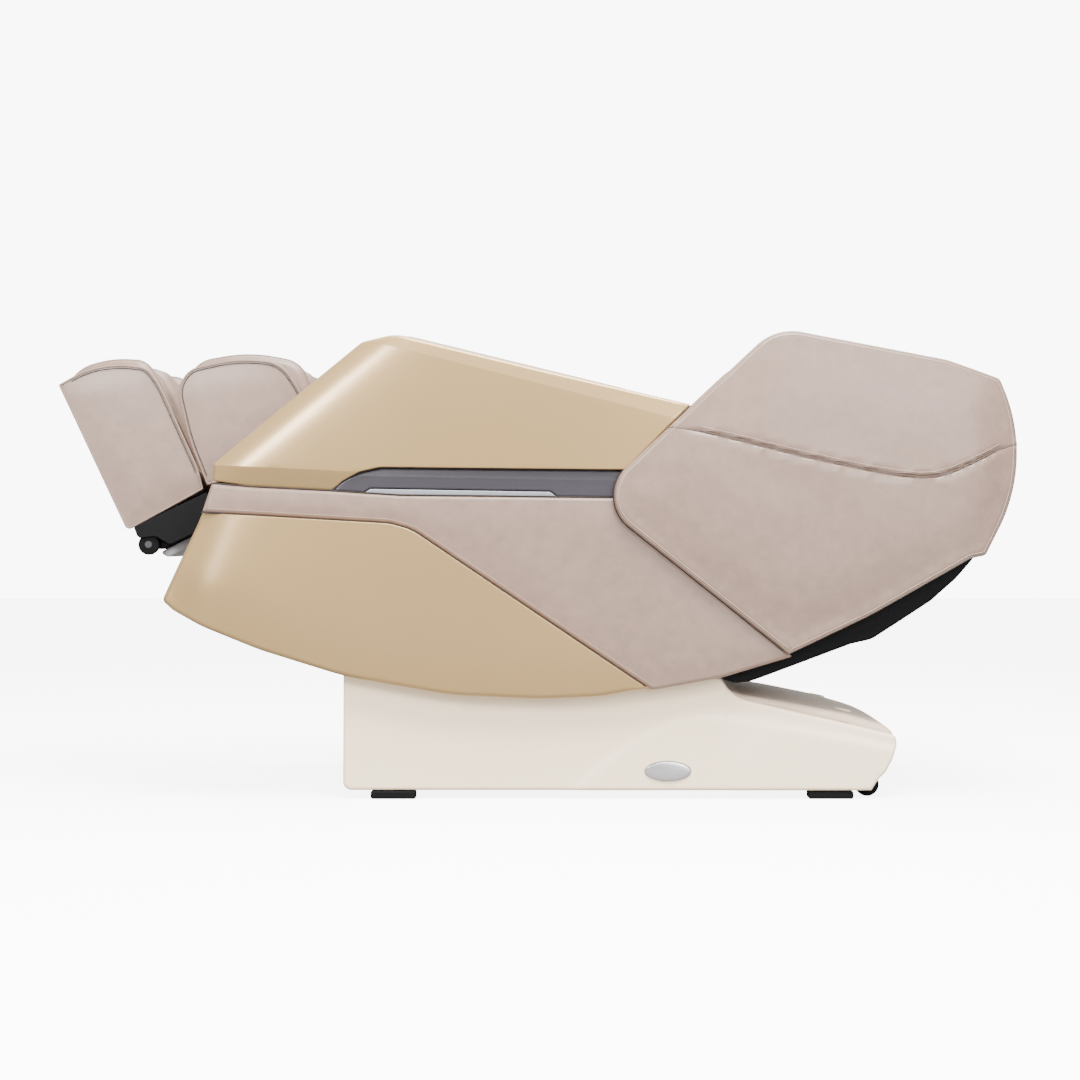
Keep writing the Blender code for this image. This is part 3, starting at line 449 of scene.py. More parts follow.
# Borders of the side panels, from the front toward the back.
armFront = [(-0.638, 0.645, 0.006), (-0.638, 0.681, 0.010), (-0.339, 0.926, 0.03)]
armTop = [(-0.271, 0.942, 0.09), (0.020, 0.871), (0.326, 0.799, 0.004)]
trimTop = [(0.195, 0.6668), (-0.301, 0.672, 0.05), (-0.341, 0.663, 0.03), (-0.375, 0.645, 0.03),
           (-0.397, 0.626)]
lightTop = [(0.055, 0.6135), (0.041, 0.624, 0.006), (-0.321, 0.630, 0.008), (-0.333, 0.6215)]
armShape = armFront + armTop + trimTop + [(-0.562, 0.634)]
trimShape = [(0.195, 0.667), (0.185, 0.640, 0.03), (0.180, 0.612)] + lightTop
trimShape += [(-0.397, 0.626), (-0.375, 0.645, 0.03), (-0.341, 0.663, 0.03), (-0.301, 0.672, 0.05)]
bandShape = [(-0.640, 0.641), (-0.562, 0.634), (-0.397, 0.626), (-0.333, 0.6215), (-0.261, 0.617),
             (0.055, 0.6135), (0.180, 0.612, 0.004), (0.190, 0.580), (0.232, 0.535), (0.530, 0.292, 0.012),
             (0.386, 0.249, 0.3), (0.261, 0.226, 0.1), (0.243, 0.225, 0.002), (-0.236, 0.547, 0.10),
             (-0.281, 0.560, 0.10), (-0.660, 0.582, 0.004)]
bandTop = [(-0.640, 0.641), (-0.562, 0.634), (-0.397, 0.626), (-0.333, 0.6215), (-0.261, 0.617),
           (0.055, 0.6135), (0.180, 0.612)]
hullShape = [(-0.660, 0.582, 0.004), (-0.281, 0.560, 0.10), (-0.236, 0.547, 0.10), (0.237, 0.2290, 0.002),
             (0.141, 0.211, 0.3), (0.021, 0.206, 0.5), (-0.160, 0.214, 0.5), (-0.371, 0.251, 0.6),
             (-0.542, 0.304, 0.5), (-0.662, 0.352, 0.3), (-0.722, 0.384, 0.05), (-0.745, 0.404, 0.03),
             (-0.733, 0.430, 0.06)]
wingShape = [(0.126, 0.610, 0.080), (0.493, 0.954, 0.104), (0.835, 0.888, 0.120), (0.942, 0.850, 0.014),
             (1.014, 0.694, 0.359), (0.914, 0.495, 0.014), (0.882, 0.489, 0.020), (0.683, 0.375, 0.599),
             (0.519, 0.297, 0.010)]
wingBorder = rounded(wingShape)
wingSeam = [(0.276, 0.752), (0.340, 0.744), (0.420, 0.726), (0.539, 0.696), (0.639, 0.674),
            (0.699, 0.662), (0.739, 0.656), (0.779, 0.652), (0.809, 0.654), (0.839, 0.662),
            (0.878, 0.679), (0.938, 0.708), (0.985, 0.722)]


armFolds = (((-0.314, 0.925), (0.309, 0.766)), ((-0.640, 0.6775), (-0.391, 0.6655)))
trimFold = ((-0.341, 0.655), (0.16, 0.6465))


def armRelief(points, depth):
    front = -beyond(points, (-0.638, 0.681), (-0.339, 0.926))
    top = -beyond(points, *armFolds[0])
    low = -beyond(points, *armFolds[1][::-1])
    pull = 0.56 * ease(0.034 - front, 0.030) + 0.20 * ease(-top, 0.0006) + 0.46 * ease(-low, 0.0006)
    return 0.0016 - 0.034 * np.tanh(pull / 0.034)


def hullRelief(points, depth):
    front = -beyond(points, (-0.730, 0.420), (-0.666, 0.581))
    pts = np.asarray(points)
    keel = 0.2065 + 0.36 * np.maximum(0.0, -pts[:, 0] - 0.02) ** 1.9
    keel += 0.25 * np.maximum(0, pts[:, 0] - 0.05) ** 2
    low = ease(0.085 - (pts[:, 1] - keel), 0.03)
    pull = 0.50 * ease(0.062 - front, 0.050) + 0.15 * low
    return 0.002 - 0.032 * np.tanh(pull / 0.032)


def trimRelief(points, depth):
    line = -beyond(points, *trimFold)
    return -0.16 * ease(-line, 0.0006) - 0.001


def bandRelief(points, depth):
    pts = np.asarray(points)
    swell = 0.0026 * (1 - np.exp(-(depth / 0.028) ** 2))
    ripple = 0.0005 * np.sin(pts[:, 0] * 31 + pts[:, 1] * 17) * np.clip(depth / 0.03, 0, 1)
    return swell + ripple


wing = dict(edge=0.011, backEdge=0.004, gap=0.0004, seamRoll=0.0016, crown=0.0085, crownReach=0.055,
            tuck=0.0018, fall=0.010, turn=0.26, turnMost=0.016, fill=0.9, stitchUp=0.009,
            stitchRadius=0.0009)
wingTrims = dict(  # inset from the border, height over the face, radius and look of each line
    wingWelt=dict(inset=0.0046, lift=-0.0036, radius=0.0019, look="piping"),
    wingWeltSeam=dict(inset=0.0086, lift=-0.0003, radius=0.0007, look="thread"))


def wingRelief(points, depth):
    pts = np.asarray(points)
    rim = distanceTo(points, wingBorder, True)
    swell = wing["crown"] * (1 - np.exp(-(rim / wing["crownReach"]) ** 2))
    swell += wing["tuck"] * (np.exp(-depth / 0.02) - 1) * (rim > 0.02)
    swell = swell * np.clip(depth / 0.004, 0.35, 1.0)
    swell = swell - wing["fall"] * np.clip((pts[:, 1] - 0.66) / 0.29, -1, 1) ** 2
    turn = wing["turn"] * ease(pts[:, 0] - 0.905 + 0.10 * (0.70 - pts[:, 1]), 0.03)
    folds = 0.0007 * np.sin(pts[:, 0] * 23 + 2.0 * np.sin(pts[:, 1] * 19)) * np.clip(rim / 0.05, 0, 1)
    return swell - np.minimum(turn, wing["turnMost"]) + folds


# Cut a closed outline in two along a line that starts and ends near it
def splitBy(outline, line):
    count = len(outline)
    first = min(range(count), key=lambda i: (outline[i] - Vector(line[0])).length)
    last = min(range(count), key=lambda i: (outline[i] - Vector(line[-1])).length)
    path = divided([Vector(p) for p in line], 0.010)[1:-1]
    one, k = [], first
    while k != last:
        one.append(outline[k])
        k = (k + 1) % count
    one.append(outline[last])
    two, k = [], last
    while k != first:
        two.append(outline[k])
        k = (k + 1) % count
    two.append(outline[first])
    return one + path[::-1], two + path


def follow(line, y):
    return [(p[0], y, p[1]) for p in line]


def armRoll(p):
    return 0.0022 + 0.0040 * min(1.0, float(distanceTo([p], trimTop + [(-0.640, 0.641)])[0]) / 0.03)


def hullRoll(p):
    return 0.0014 + 0.0076 * min(1.0, float(distanceTo([p], hullShape[:4])[0]) / 0.03)


def wingRoll(p):
    gap = float(distanceTo([p], wingSeam)[0])  # tight along the seam, full at the border
    share = min(1.0, max(0.0, gap - 0.002) / 0.020)
    return wing["seamRoll"] + (wing["edge"] - wing["seamRoll"]) * share


def onWing(line, s, lift):
    heights = wingRelief([(p[0], p[1]) for p in line], np.full(len(line), 0.012))
    return [(p[0], s * (layers["wing"] + lift + float(h)), p[1]) for p, h in zip(line, heights)]


# Each piece lies "back" behind the side's outer layer; "deep" is its thickness where it is a thin strip
sidePieces = dict(
    armPanel=dict(outline=armShape, back=0.0, look="gold", node="arm_panel_", slot="gold_shell",
                  form=dict(edge=0.0055, relief=armRelief, step=0.008, rollAt=armRoll, folds=armFolds)),
    armTrim=dict(outline=trimShape, back=0.003, look="trim", node="arm_trim_", slot="grey_trim",
                 form=dict(edge=0.003, relief=trimRelief, folds=(trimFold,))),
    armLight=dict(outline=lightTop + [(-0.261, 0.617)], fine=0.004, deep=0.02, back=0.0022, look="light",
                  node="arm_light_", slot="light_strip", form=dict(edge=0.0022)),
    sideBand=dict(outline=bandShape, back=0.001, look="leather", node="side_band_", slot="leather",
                  form=dict(edge=0.008, relief=bandRelief)),
    hullPanel=dict(outline=hullShape, back=0.002, look="gold", node="hull_panel_", slot="gold_shell",
                   form=dict(edge=0.009, relief=hullRelief, backEdge=0.004, rollAt=hullRoll)))
# Dark tubes sunk in the gaps along the side panels and under the wing's lower border: painted shadow in
# those gaps
seamShade = dict(sink=0.0046, radius=0.0013, wingInset=0.0004, wingOut=0.0018, wingRadius=0.0022)
bandStitch = dict(line=[(-0.655, 0.5905), (-0.281, 0.5685, 0.10), (-0.231, 0.5545, 0.10), (0.250, 0.232)],
                  sink=0.0008)


def buildSide(cap, side, s):
    outer = layers["panel"]
    for name, spec in sidePieces.items():
        inner = outer - spec["deep"] if "deep" in spec else layers["panelIn"]
        obj = plate(name + cap, rounded(spec["outline"], spec.get("fine", 0.006)), inner,
                    outer - spec["back"], spec["look"], "seat", side=s, **spec["form"])
        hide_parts(spec["node"] + side)
    path = follow(rounded(bandStitch["line"], closed=False), s * (outer - bandStitch["sink"]))
    stitches("bandStitch" + cap, path, "thread", "seat")


def buildWing(cap, side, s):
    outline = rounded(wingShape)
    lower, upper = splitBy(outline, wingSeam)
    for label, part in (("Lower", lower), ("Upper", upper)):
        half = plate("wing" + label + cap, part, layers["wingIn"], layers["wing"], "leather", "back",
                     wing["edge"], wingRelief, side=s, backEdge=wing["backEdge"], gap=wing["gap"],
                     rollAt=wingRoll)
        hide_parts("wing_" + side)
    above = divided([(p[0] - 0.001, p[1] + wing["stitchUp"]) for p in wingSeam[1:-1]], 0.02)
    stitches("wingStitch" + cap, onWing(above, s, 0.0005), "thread", "back",
                     radius=wing["stitchRadius"])


def buildSeams(cap, side, s):
    outline = rounded(wingShape)
    # Dark tubes along the panel gaps and the wing's lower border: painted shadow
    for number, line in enumerate((bandTop, trimTop, [hullShape[0][:2]] + hullShape[1:4])):
        path = follow(rounded(line, closed=False), s * (layers["panel"] - seamShade["sink"]))
        tube("gasket%d%s" % (number, cap), path, seamShade["radius"], "seamDark", "seat",
                     closed=False)
    tube("wingGasket" + cap, follow(inset(lowerBorder(outline), seamShade["wingInset"]),
                                            s * (layers["wingIn"] + seamShade["wingOut"])),
                 seamShade["wingRadius"], "seamDark", "back", closed=False)
    # Dark brown cord filling the wing's seam groove: painted shade along the seam line
    seamPath = divided(wingSeam[:-1] + [(0.976, 0.7190)], 0.02)
    tube("wingSeamCord" + cap, onWing(seamPath, s, -0.0012), 0.0013, "seamBrown", "back",
                 closed=False)
    for name, trim in wingTrims.items():
        path = onWing(inset(outline, trim["inset"]), s, trim["lift"])
        tube(name + cap, path, trim["radius"], trim["look"], "back")


def lowerBorder(outline):  # the stretch that runs down the front and along the bottom
    start = min(range(len(outline)), key=lambda i: (outline[i] - Vector((0.330, 0.800))).length)
    line = outline[start:] + outline[:start]
    end = min(range(len(line)), key=lambda i: (line[i] - Vector((0.505, 0.306))).length)
    return line[end:] if end > len(line) / 2 else line[:end]


for cap, side, s in bothSides():
    buildSide(cap, side, s)
    buildWing(cap, side, s)
    buildSeams(cap, side, s)

print("stage: base")

cheekForm = dict(roll=0.007, backRoll=0.003, step=0.0045, stepWidth=0.012, topFall=0.004)
cheekShape = [(-0.380, 0.283, 0.006), (-0.381, 0.017, 0.018), (0.694, 0.017, 0.004), (0.710, 0.042),
              (0.723, 0.054), (0.737, 0.080, 0.03), (0.747, 0.110, 0.02), (0.745, 0.127, 0.008),
              (0.737, 0.132, 0.008), (0.650, 0.153, 0.4), (0.548, 0.176, 0.4), (0.447, 0.200, 0.2),
              (0.420, 0.210, 0.05), (0.402, 0.226, 0.03), (0.390, 0.245, 0.01), (0.270, 0.285, 0.03),
              (0.110, 0.364, 0.03), (0.015, 0.364, 0.03), (-0.140, 0.290, 0.04)]
crease = [(0.060, -0.030), (0.087, 0.019), (0.130, 0.060), (0.177, 0.094), (0.223, 0.123), (0.274, 0.148),
          (0.310, 0.161), (0.345, 0.167), (0.386, 0.168), (0.467, 0.157), (0.560, 0.140), (0.650, 0.124),
          (0.741, 0.104), (0.800, 0.092)]


# Corner-cut an open line so that it runs smoothly
def smoothLine(points, rounds=3):
    pts = [Vector(p[:2]) for p in points]
    for _ in range(rounds):
        new = [pts[0]]
        for a, b in zip(pts, pts[1:]):
            new += [a.lerp(b, 0.25), a.lerp(b, 0.75)]
        pts = new + [pts[-1]]
    return pts


creaseLine = smoothLine(crease)


def cheekRelief(points, depth):
    pts = np.asarray(points)
    zs = np.interp(pts[:, 0], [p.x for p in creaseLine], [p.y for p in creaseLine], left=-9, right=0.09)
    height = pts[:, 1] - zs
    gap = distanceTo(points, creaseLine)
    signed = np.where((height > 0) | (pts[:, 0] < 0.06), gap, -gap)
    signed = np.where(pts[:, 0] < 0.062, np.abs(signed), signed)
    stepIn = cheekForm["step"] * np.clip(0.5 + signed / cheekForm["stepWidth"], 0, 1)
    top = 0.10 * ease(pts[:, 1] - 0.10 - 0.25 * (pts[:, 0] - 0.40), 0.05) * (pts[:, 0] > 0.40)
    return -stepIn - np.minimum(top, cheekForm["topFall"])


badge = dict(x=0.280, z=0.0575, rimLong=0.0485, rimHigh=0.0215, rimThick=0.0042, faceLong=0.0452,
             faceHigh=0.0186, dome=0.0022, out=0.0013)


def buildBase():
    for cap, side, s in bothSides():
        cheek = plate("baseCheek" + cap, rounded(cheekShape), layers["cheekIn"], layers["cheek"] + 0.001,
                      "cream", "base", cheekForm["roll"], cheekRelief, step=0.008, side=s,
                      backEdge=cheekForm["backRoll"])
        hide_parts("base_cheek_" + side)
        y = s * (layers["cheek"] + badge["out"])
        rim = bmesh.new()
        made = bmesh.ops.create_cone(rim, cap_ends=True, segments=96, radius1=1.0, radius2=0.94, depth=1.0)
        for v in made["verts"]:
            v.co = Vector((badge["x"] + v.co.x * badge["rimLong"],
                           y + s * (v.co.z * badge["rimThick"] + 0.001),
                           badge["z"] + v.co.y * badge["rimHigh"]))
        finishMesh("badgeRim" + cap, rim, "badgeRim", "base", 30.0)
        face = bmesh.new()
        made = bmesh.ops.create_uvsphere(face, u_segments=64, v_segments=24, radius=1.0)
        for v in made["verts"]:
            v.co = Vector((badge["x"] + v.co.x * badge["faceLong"],
                           y + s * (v.co.z * badge["dome"] + 0.0027),
                           badge["z"] + v.co.y * badge["faceHigh"]))
        finishMesh("badgeFace" + cap, face, "badge", "base", 60.0)


# Skin that runs along a side-view line and across the chair, rolled at both sides
def crossPath(name, top, thick, half, look, body, crown=0.0, edge=0.010, bend=None, cuts=24):
    line = smoothLine(divided([Vector(p[:2]) for p in top], 0.012), 2)
    turns = [math.pi / 2 * k / 6 for k in range(7)]
    across = [(-half + edge * (1 - math.cos(t)), -edge * (1 - math.sin(t))) for t in turns]
    inner = [(-half + edge + (2 * (half - edge)) * k / cuts, 0.0) for k in range(1, cuts)]
    across = across + inner + [(-y, d) for y, d in across[::-1]]
    count = len(line)
    normals = []
    for i in range(count):
        d = (line[min(i + 1, count - 1)] - line[max(i - 1, 0)]).normalized()
        normals.append(Vector((-d.y, d.x)))
    bm = bmesh.new()

    def row(offset, roll):
        rows = []
        for i, p in enumerate(line):
            ring = []
            for y, down in across:
                lift = crown * (1 - (y / half) ** 2) if roll else 0.0
                extra = bend(i / (count - 1), y) if (bend and roll) else 0.0
                q = p + normals[i] * (offset + (down if roll else min(down, 0.0)) + lift + extra)
                ring.append(bm.verts.new((q.x, y, q.y)))
            rows.append(ring)
        return rows

    topRows, lowRows = row(0.0, True), row(-thick, False)
    wide = len(across)
    for i in range(count - 1):
        for k in range(wide - 1):
            bm.faces.new((topRows[i][k], topRows[i + 1][k], topRows[i + 1][k + 1], topRows[i][k + 1]))
            bm.faces.new((lowRows[i][k], lowRows[i][k + 1], lowRows[i + 1][k + 1], lowRows[i + 1][k]))
        for k in (0, wide - 1):
            bm.faces.new((topRows[i][k], lowRows[i][k], lowRows[i + 1][k], topRows[i + 1][k]))
    for i in (0, count - 1):
        for k in range(wide - 1):
            bm.faces.new((topRows[i][k], topRows[i][k + 1], lowRows[i][k + 1], lowRows[i][k]))
    return finishMesh(name, bm, look, body)


buildBase()
deckPiece = dict(thick=0.006, half=0.2985, crown=0.006, roll=0.010)
deckLine = [(0.402, 0.226), (0.412, 0.217), (0.430, 0.210), (0.447, 0.2065), (0.548, 0.190),
            (0.650, 0.169), (0.722, 0.148), (0.742, 0.134), (0.748, 0.116), (0.744, 0.098), (0.735, 0.080),
            (0.726, 0.070)]
deck = crossPath("baseDeck", deckLine, deckPiece["thick"], deckPiece["half"], "deck", "base",
                 crown=deckPiece["crown"], edge=deckPiece["roll"])
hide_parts("base_deck")


caps = dict(x=0.655, z=0.1715, across=(-0.20, 0.20, 0.0), tilt=math.radians(-11.5), foot=0.0125, top=0.0105,
            high=0.003, long=1.5)


def screwCap(name, y):
    c, s = math.cos(caps["tilt"]), math.sin(caps["tilt"])
    bm = bmesh.new()
    made = bmesh.ops.create_cone(bm, cap_ends=True, segments=32, radius1=caps["foot"],
                                 radius2=caps["top"], depth=caps["high"])
    for v in made["verts"]:
        u, w = v.co.x * caps["long"], v.co.z
        v.co = Vector((caps["x"] + u * c - w * s, y + v.co.y, caps["z"] + u * s + w * c))
    finishMesh(name, bm, "cream", "base", 30.0)


for number, y in enumerate(caps["across"]):
    screwCap("screwCap%d" % number, y)

print("stage: seat and back pads")


def lines(value, places, width):  # 1 on each line, falling off within its width
    return sum(math.exp(-((value - at) / width) ** 2) for at in places)


def softPad(spec, name, place, shape, body, node):
    pad = cushion(name, spec["size"], place, "leather", body, spec["round"], spec["cuts"], shape)
    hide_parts(node)


seatPad = dict(size=(0.575, 0.524, 0.078), round=0.022, cuts=(56, 60, 8), fill=0.9, x=-0.132, z=0.5455,
               slope=math.radians(-26.0), crown=0.016, dish=0.010, channels=(-0.155, -0.02, 0.115),
               bolster=0.185, seamWidth=0.006, seamDepth=0.0075)


def onSeat(p):  # u toward the back, v across, w up from the seat line
    c, s = math.cos(seatPad["slope"]), math.sin(seatPad["slope"])
    return (seatPad["x"] + p[0] * c - p[2] * s, p[1], seatPad["z"] + p[0] * s + p[2] * c)


def seatShape(p, half):
    u, v, w = p.x / half[0], p.y / half[1], p.z
    top = max(0.0, w / half[2])
    crown = seatPad["crown"] * (1 - u ** 4) * (1 - v ** 6)
    crown -= seatPad["dish"] * math.exp(-(v / 0.5) ** 2) * (1 - u * u)
    cross = min(1.0, lines(p.x, seatPad["channels"], seatPad["seamWidth"]))
    border = lines(abs(p.y), (seatPad["bolster"],), seatPad["seamWidth"])
    drop = seatPad["seamDepth"] * max(cross * (abs(p.y) < seatPad["bolster"]), border)
    return (p.x, p.y, p.z + top * (crown - drop))


softPad(seatPad, "seatCushion", onSeat, seatShape, "seat", "seat_cushion")
backPad = dict(size=(0.690, 0.524, 0.066), round=0.024, cuts=(64, 60, 8), fill=0.9, along=0.372, out=0.092,
               crown=0.012, lumbar=0.020, dish=0.010, channels=(-0.255, -0.175, -0.095, -0.015, 0.065),
               bolster=0.170, seamWidth=0.006, seamDepth=0.0075)


def onBackPad(p):
    x, z = onBack(backPad["along"] + p[0], backPad["out"] + p[2])
    return (x, p[1], z)


def backShape(p, half):
    v = p.y / half[1]
    top = max(0.0, p.z / half[2])
    lumbar = backPad["lumbar"] * math.exp(-((p.x + 0.12) / 0.11) ** 2)
    crown = (backPad["crown"] + lumbar) * (1 - v ** 6)
    dish = backPad["dish"] * math.exp(-(v / 0.45) ** 2)
    cross = min(1.0, lines(p.x, backPad["channels"], backPad["seamWidth"]))
    border = lines(abs(p.y), (backPad["bolster"],), backPad["seamWidth"])
    drop = backPad["seamDepth"] * max(cross * (abs(p.y) < backPad["bolster"]), border * (p.x < 0.12))
    return (p.x, p.y, p.z + top * (crown - dish - drop))


softPad(backPad, "backCushion", onBackPad, backShape, "back", "back_cushion")
pillow = dict(size=(0.175, 0.315, 0.052), round=0.025, cuts=(26, 40, 8), fill=0.7, along=0.582, out=0.149,
              puff=0.012, dish=0.008, seams=0.085, seamWidth=0.005, seamDepth=0.004)


def onPillow(p):
    x, z = onBack(pillow["along"] + p[0], pillow["out"] + p[2])
    return (x, p[1], z)


def pillowShape(p, half):
    u, v = p.x / half[0], p.y / half[1]
    top = max(0.0, p.z / half[2])
    puff = pillow["puff"] * (1 - u * u) * (1 - v ** 4) - pillow["dish"] * math.exp(-(v / 0.4) ** 2)
    pipe = pillow["seamDepth"] * lines(abs(p.y), (pillow["seams"],), pillow["seamWidth"])
    return (p.x, p.y, p.z + top * (puff - pipe))


softPad(pillow, "headPillow", onPillow, pillowShape, "back", "head_pillow")
lumbarForm = dict(radius=0.115, start=34.0, sweep=88.0, thick=0.040, half=0.2405, roll=0.015)
turns = [math.radians(lumbarForm["start"] - lumbarForm["sweep"] * k / 16) for k in range(16, -1, -1)]
reach = lumbarForm["radius"]
arc = [onBack(reach * math.sin(t), reach * math.cos(t)) for t in turns]
lumbarRoll = crossPath("lumbarRoll", arc, lumbarForm["thick"], lumbarForm["half"], "leather", "back",
                       edge=lumbarForm["roll"])

padShape = [(-0.600, 0.668, 0.02), (-0.325, 0.915, 0.05), (-0.265, 0.946, 0.09), (0.300, 0.808, 0.02),
            (0.170, 0.655, 0.05), (0.150, 0.440, 0.02), (0.080, 0.440), (-0.400, 0.600, 0.04),
            (-0.590, 0.650, 0.02)]


armPad = dict(roll=0.016, backRoll=0.010, crown=0.004, seamIn=0.045, seamDepth=0.004, weltRadius=0.0026)


def padRelief(points, depth):
    seamLine = np.exp(-((depth - armPad["seamIn"]) / 0.0035) ** 2)
    return armPad["crown"] * (1 - np.exp(-(depth / 0.03) ** 2)) - armPad["seamDepth"] * seamLine


# Inner arm pad: its shaped face looks toward the sitter
def buildArmPad(cap, side, s):
    shape = rounded(padShape, 0.008)
    pad = plate("armPad" + cap, shape, -(layers["panelIn"] - 0.0006), -(layers["armIn"] + 0.001), "leather",
                "seat", armPad["roll"], padRelief, side=-s, gap=0.0, backEdge=armPad["backRoll"])
    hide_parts("arm_pad_" + side)
    top = [p for p in inset(shape, 0.002) if p.y > 0.69 + 0.2 * max(0.0, -p.x)]
    top.sort(key=lambda p: p.x)
    tube("armWelt" + cap, follow(top, s * (layers["panelIn"] - 0.0135)), armPad["weltRadius"],
                 "piping", "seat", closed=False)


for cap, side, s in bothSides():
    buildArmPad(cap, side, s)

print("stage: leg-rest")

calfShape = [(-0.669, 0.641, 0.006), (-0.706, 0.734, 0.4), (-0.7305, 0.838, 0.10), (-0.709, 0.880, 0.10),
             (-0.600, 0.904, 0.30), (-0.517, 0.893, 0.16), (-0.476, 0.836, 0.20), (-0.450, 0.760, 0.10),
             (-0.447, 0.708, 0.02)]
footShape = [(-0.9765, 0.848, 0.010), (-0.835, 0.547, 0.010), (-0.679, 0.632, 0.006),
             (-0.690, 0.676, 0.10), (-0.766, 0.844, 0.20), (-0.794, 0.884, 0.12), (-0.850, 0.890, 0.20),
             (-0.915, 0.882, 0.25)]
calfInner = [(-0.668, 0.655, 0.02), (-0.700, 0.734, 0.4), (-0.722, 0.840, 0.12), (-0.696, 0.898, 0.14),
             (-0.585, 0.917, 0.30), (-0.477, 0.897, 0.14), (-0.450, 0.820, 0.14), (-0.446, 0.716, 0.02)]
footInner = [(-0.966, 0.850, 0.02), (-0.835, 0.560, 0.016), (-0.690, 0.642, 0.016), (-0.699, 0.690, 0.10),
             (-0.770, 0.850, 0.20), (-0.800, 0.900, 0.12), (-0.870, 0.904, 0.20), (-0.935, 0.886, 0.12)]


# Soft wall between two layers with both its edges rolled
def padWall(name, shape, low, high, look, body):
    outline = rounded(shape, 0.008)
    depth = min(0.016, (high - low) * 0.45)
    wall = plate(name, outline, low, high, look, body, depth, lambda pts, d: 0.002 * (d > 0.02),
                 step=0.02, gap=0.0, backEdge=depth)
    return wall


def sideRelief(points, depth):
    return 0.0035 * (1 - np.exp(-(depth / 0.03) ** 2))


legForm = dict(skin=0.013, face=0.001, roll=0.0045, backRoll=0.003, cordIn=0.0062, cordRadius=0.0009,
               weltIn=0.0012, weltRadius=0.0026, seamRadius=0.0016, wallIn=0.202, middle=0.046)


def legBlock(label, body, node, outer, inner):
    edge = layers["leg"]
    made = []
    for cap, side, s in bothSides():
        skin = plate(label + "Side" + cap, rounded(outer), edge - legForm["skin"], edge - legForm["face"],
                     "leather", body, legForm["roll"], sideRelief, side=s, gap=0.0,
                     backEdge=legForm["backRoll"])
        # Dark cord a little inside the top and back edges of the side skin: painted shade along that seam
        line = [p for p in inset(rounded(outer), legForm["cordIn"])
                if p.y > 0.66 + 1.15 * max(0.0, -p.x - 0.79)]
        low = max(range(len(line)), key=lambda i: (line[i] - line[i - 1]).length)
        line = line[low:] + line[:low]
        tube(label + "Cord" + cap, follow(line, s * (edge + 0.0006)), legForm["cordRadius"],
                     "seamDark", body, closed=False)
        welt = follow(inset(rounded(outer), legForm["weltIn"]), s * (edge - 0.0015))
        tube(label + "Welt" + cap, welt, legForm["weltRadius"], "piping", body)
        low, high = sorted((s * legForm["wallIn"], s * (edge - 0.0125)))
        made.append(padWall(label + "Outer" + cap, inner, low, high, "leather", body))
        welt = follow(inset(rounded(inner), -0.0006), s * (edge - 0.030))
        tube(label + "Seam" + cap, welt, legForm["seamRadius"], "piping", body)
    made.append(padWall(label + "Middle", inner, -legForm["middle"], legForm["middle"], "leather", body))
    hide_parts(node)
    return made


legBlock("calf", "leg", "calf_pad", calfShape, calfInner)
legBlock("foot", "foot", "foot_pad", footShape, footInner)
footCover = crossPath("footCover", [(-0.838, 0.556), (-0.905, 0.699), (-0.972, 0.843)], 0.012, 0.2372,
                      "leather", "foot", crown=0.002, edge=0.004)


def onLegPad(origin, lean=0.0):
    def place(p):
        x, z = onLeg(origin[0] + p[0] * math.cos(lean) - p[2] * math.sin(lean),
                     origin[1] + p[0] * math.sin(lean) + p[2] * math.cos(lean))
        return (x, origin[2] + p[1], z)
    return place


def wellShape(p, half):
    top = max(0.0, p.z / half[2])
    u, v = p.x / half[0], p.y / half[1]
    hump = sum(math.exp(-((p.x - at) / 0.018) ** 2) for at in (-0.075, -0.025, 0.025, 0.075))
    return (p.x, p.y, p.z + top * (0.022 * v * v - 0.004 + 0.004 * hump * (1 - v * v)))


wellPads = dict(  # along and above the leg-rest's line, and how far out from the middle
    calfBed=dict(size=(0.205, 0.152, 0.072), at=(0.112, 0.128), body="leg", round=0.014, cuts=(30, 24, 6),
                 shape=wellShape),
    footBed=dict(size=(0.160, 0.152, 0.050), at=(0.318, 0.116), body="foot", round=0.012, cuts=(24, 20, 6),
                 shape=wellShape),
    footSole=dict(size=(0.022, 0.152, 0.300), at=(0.401, 0.252), body="foot", round=0.009,
                  cuts=(4, 20, 30), shape=None))
wellOut = 0.124
for cap, side, s in bothSides():
    for name, spec in wellPads.items():
        obj = cushion(name + cap, spec["size"], onLegPad(spec["at"] + (s * wellOut,)), "leatherDark",
                      spec["body"], spec["round"], spec["cuts"], spec["shape"])


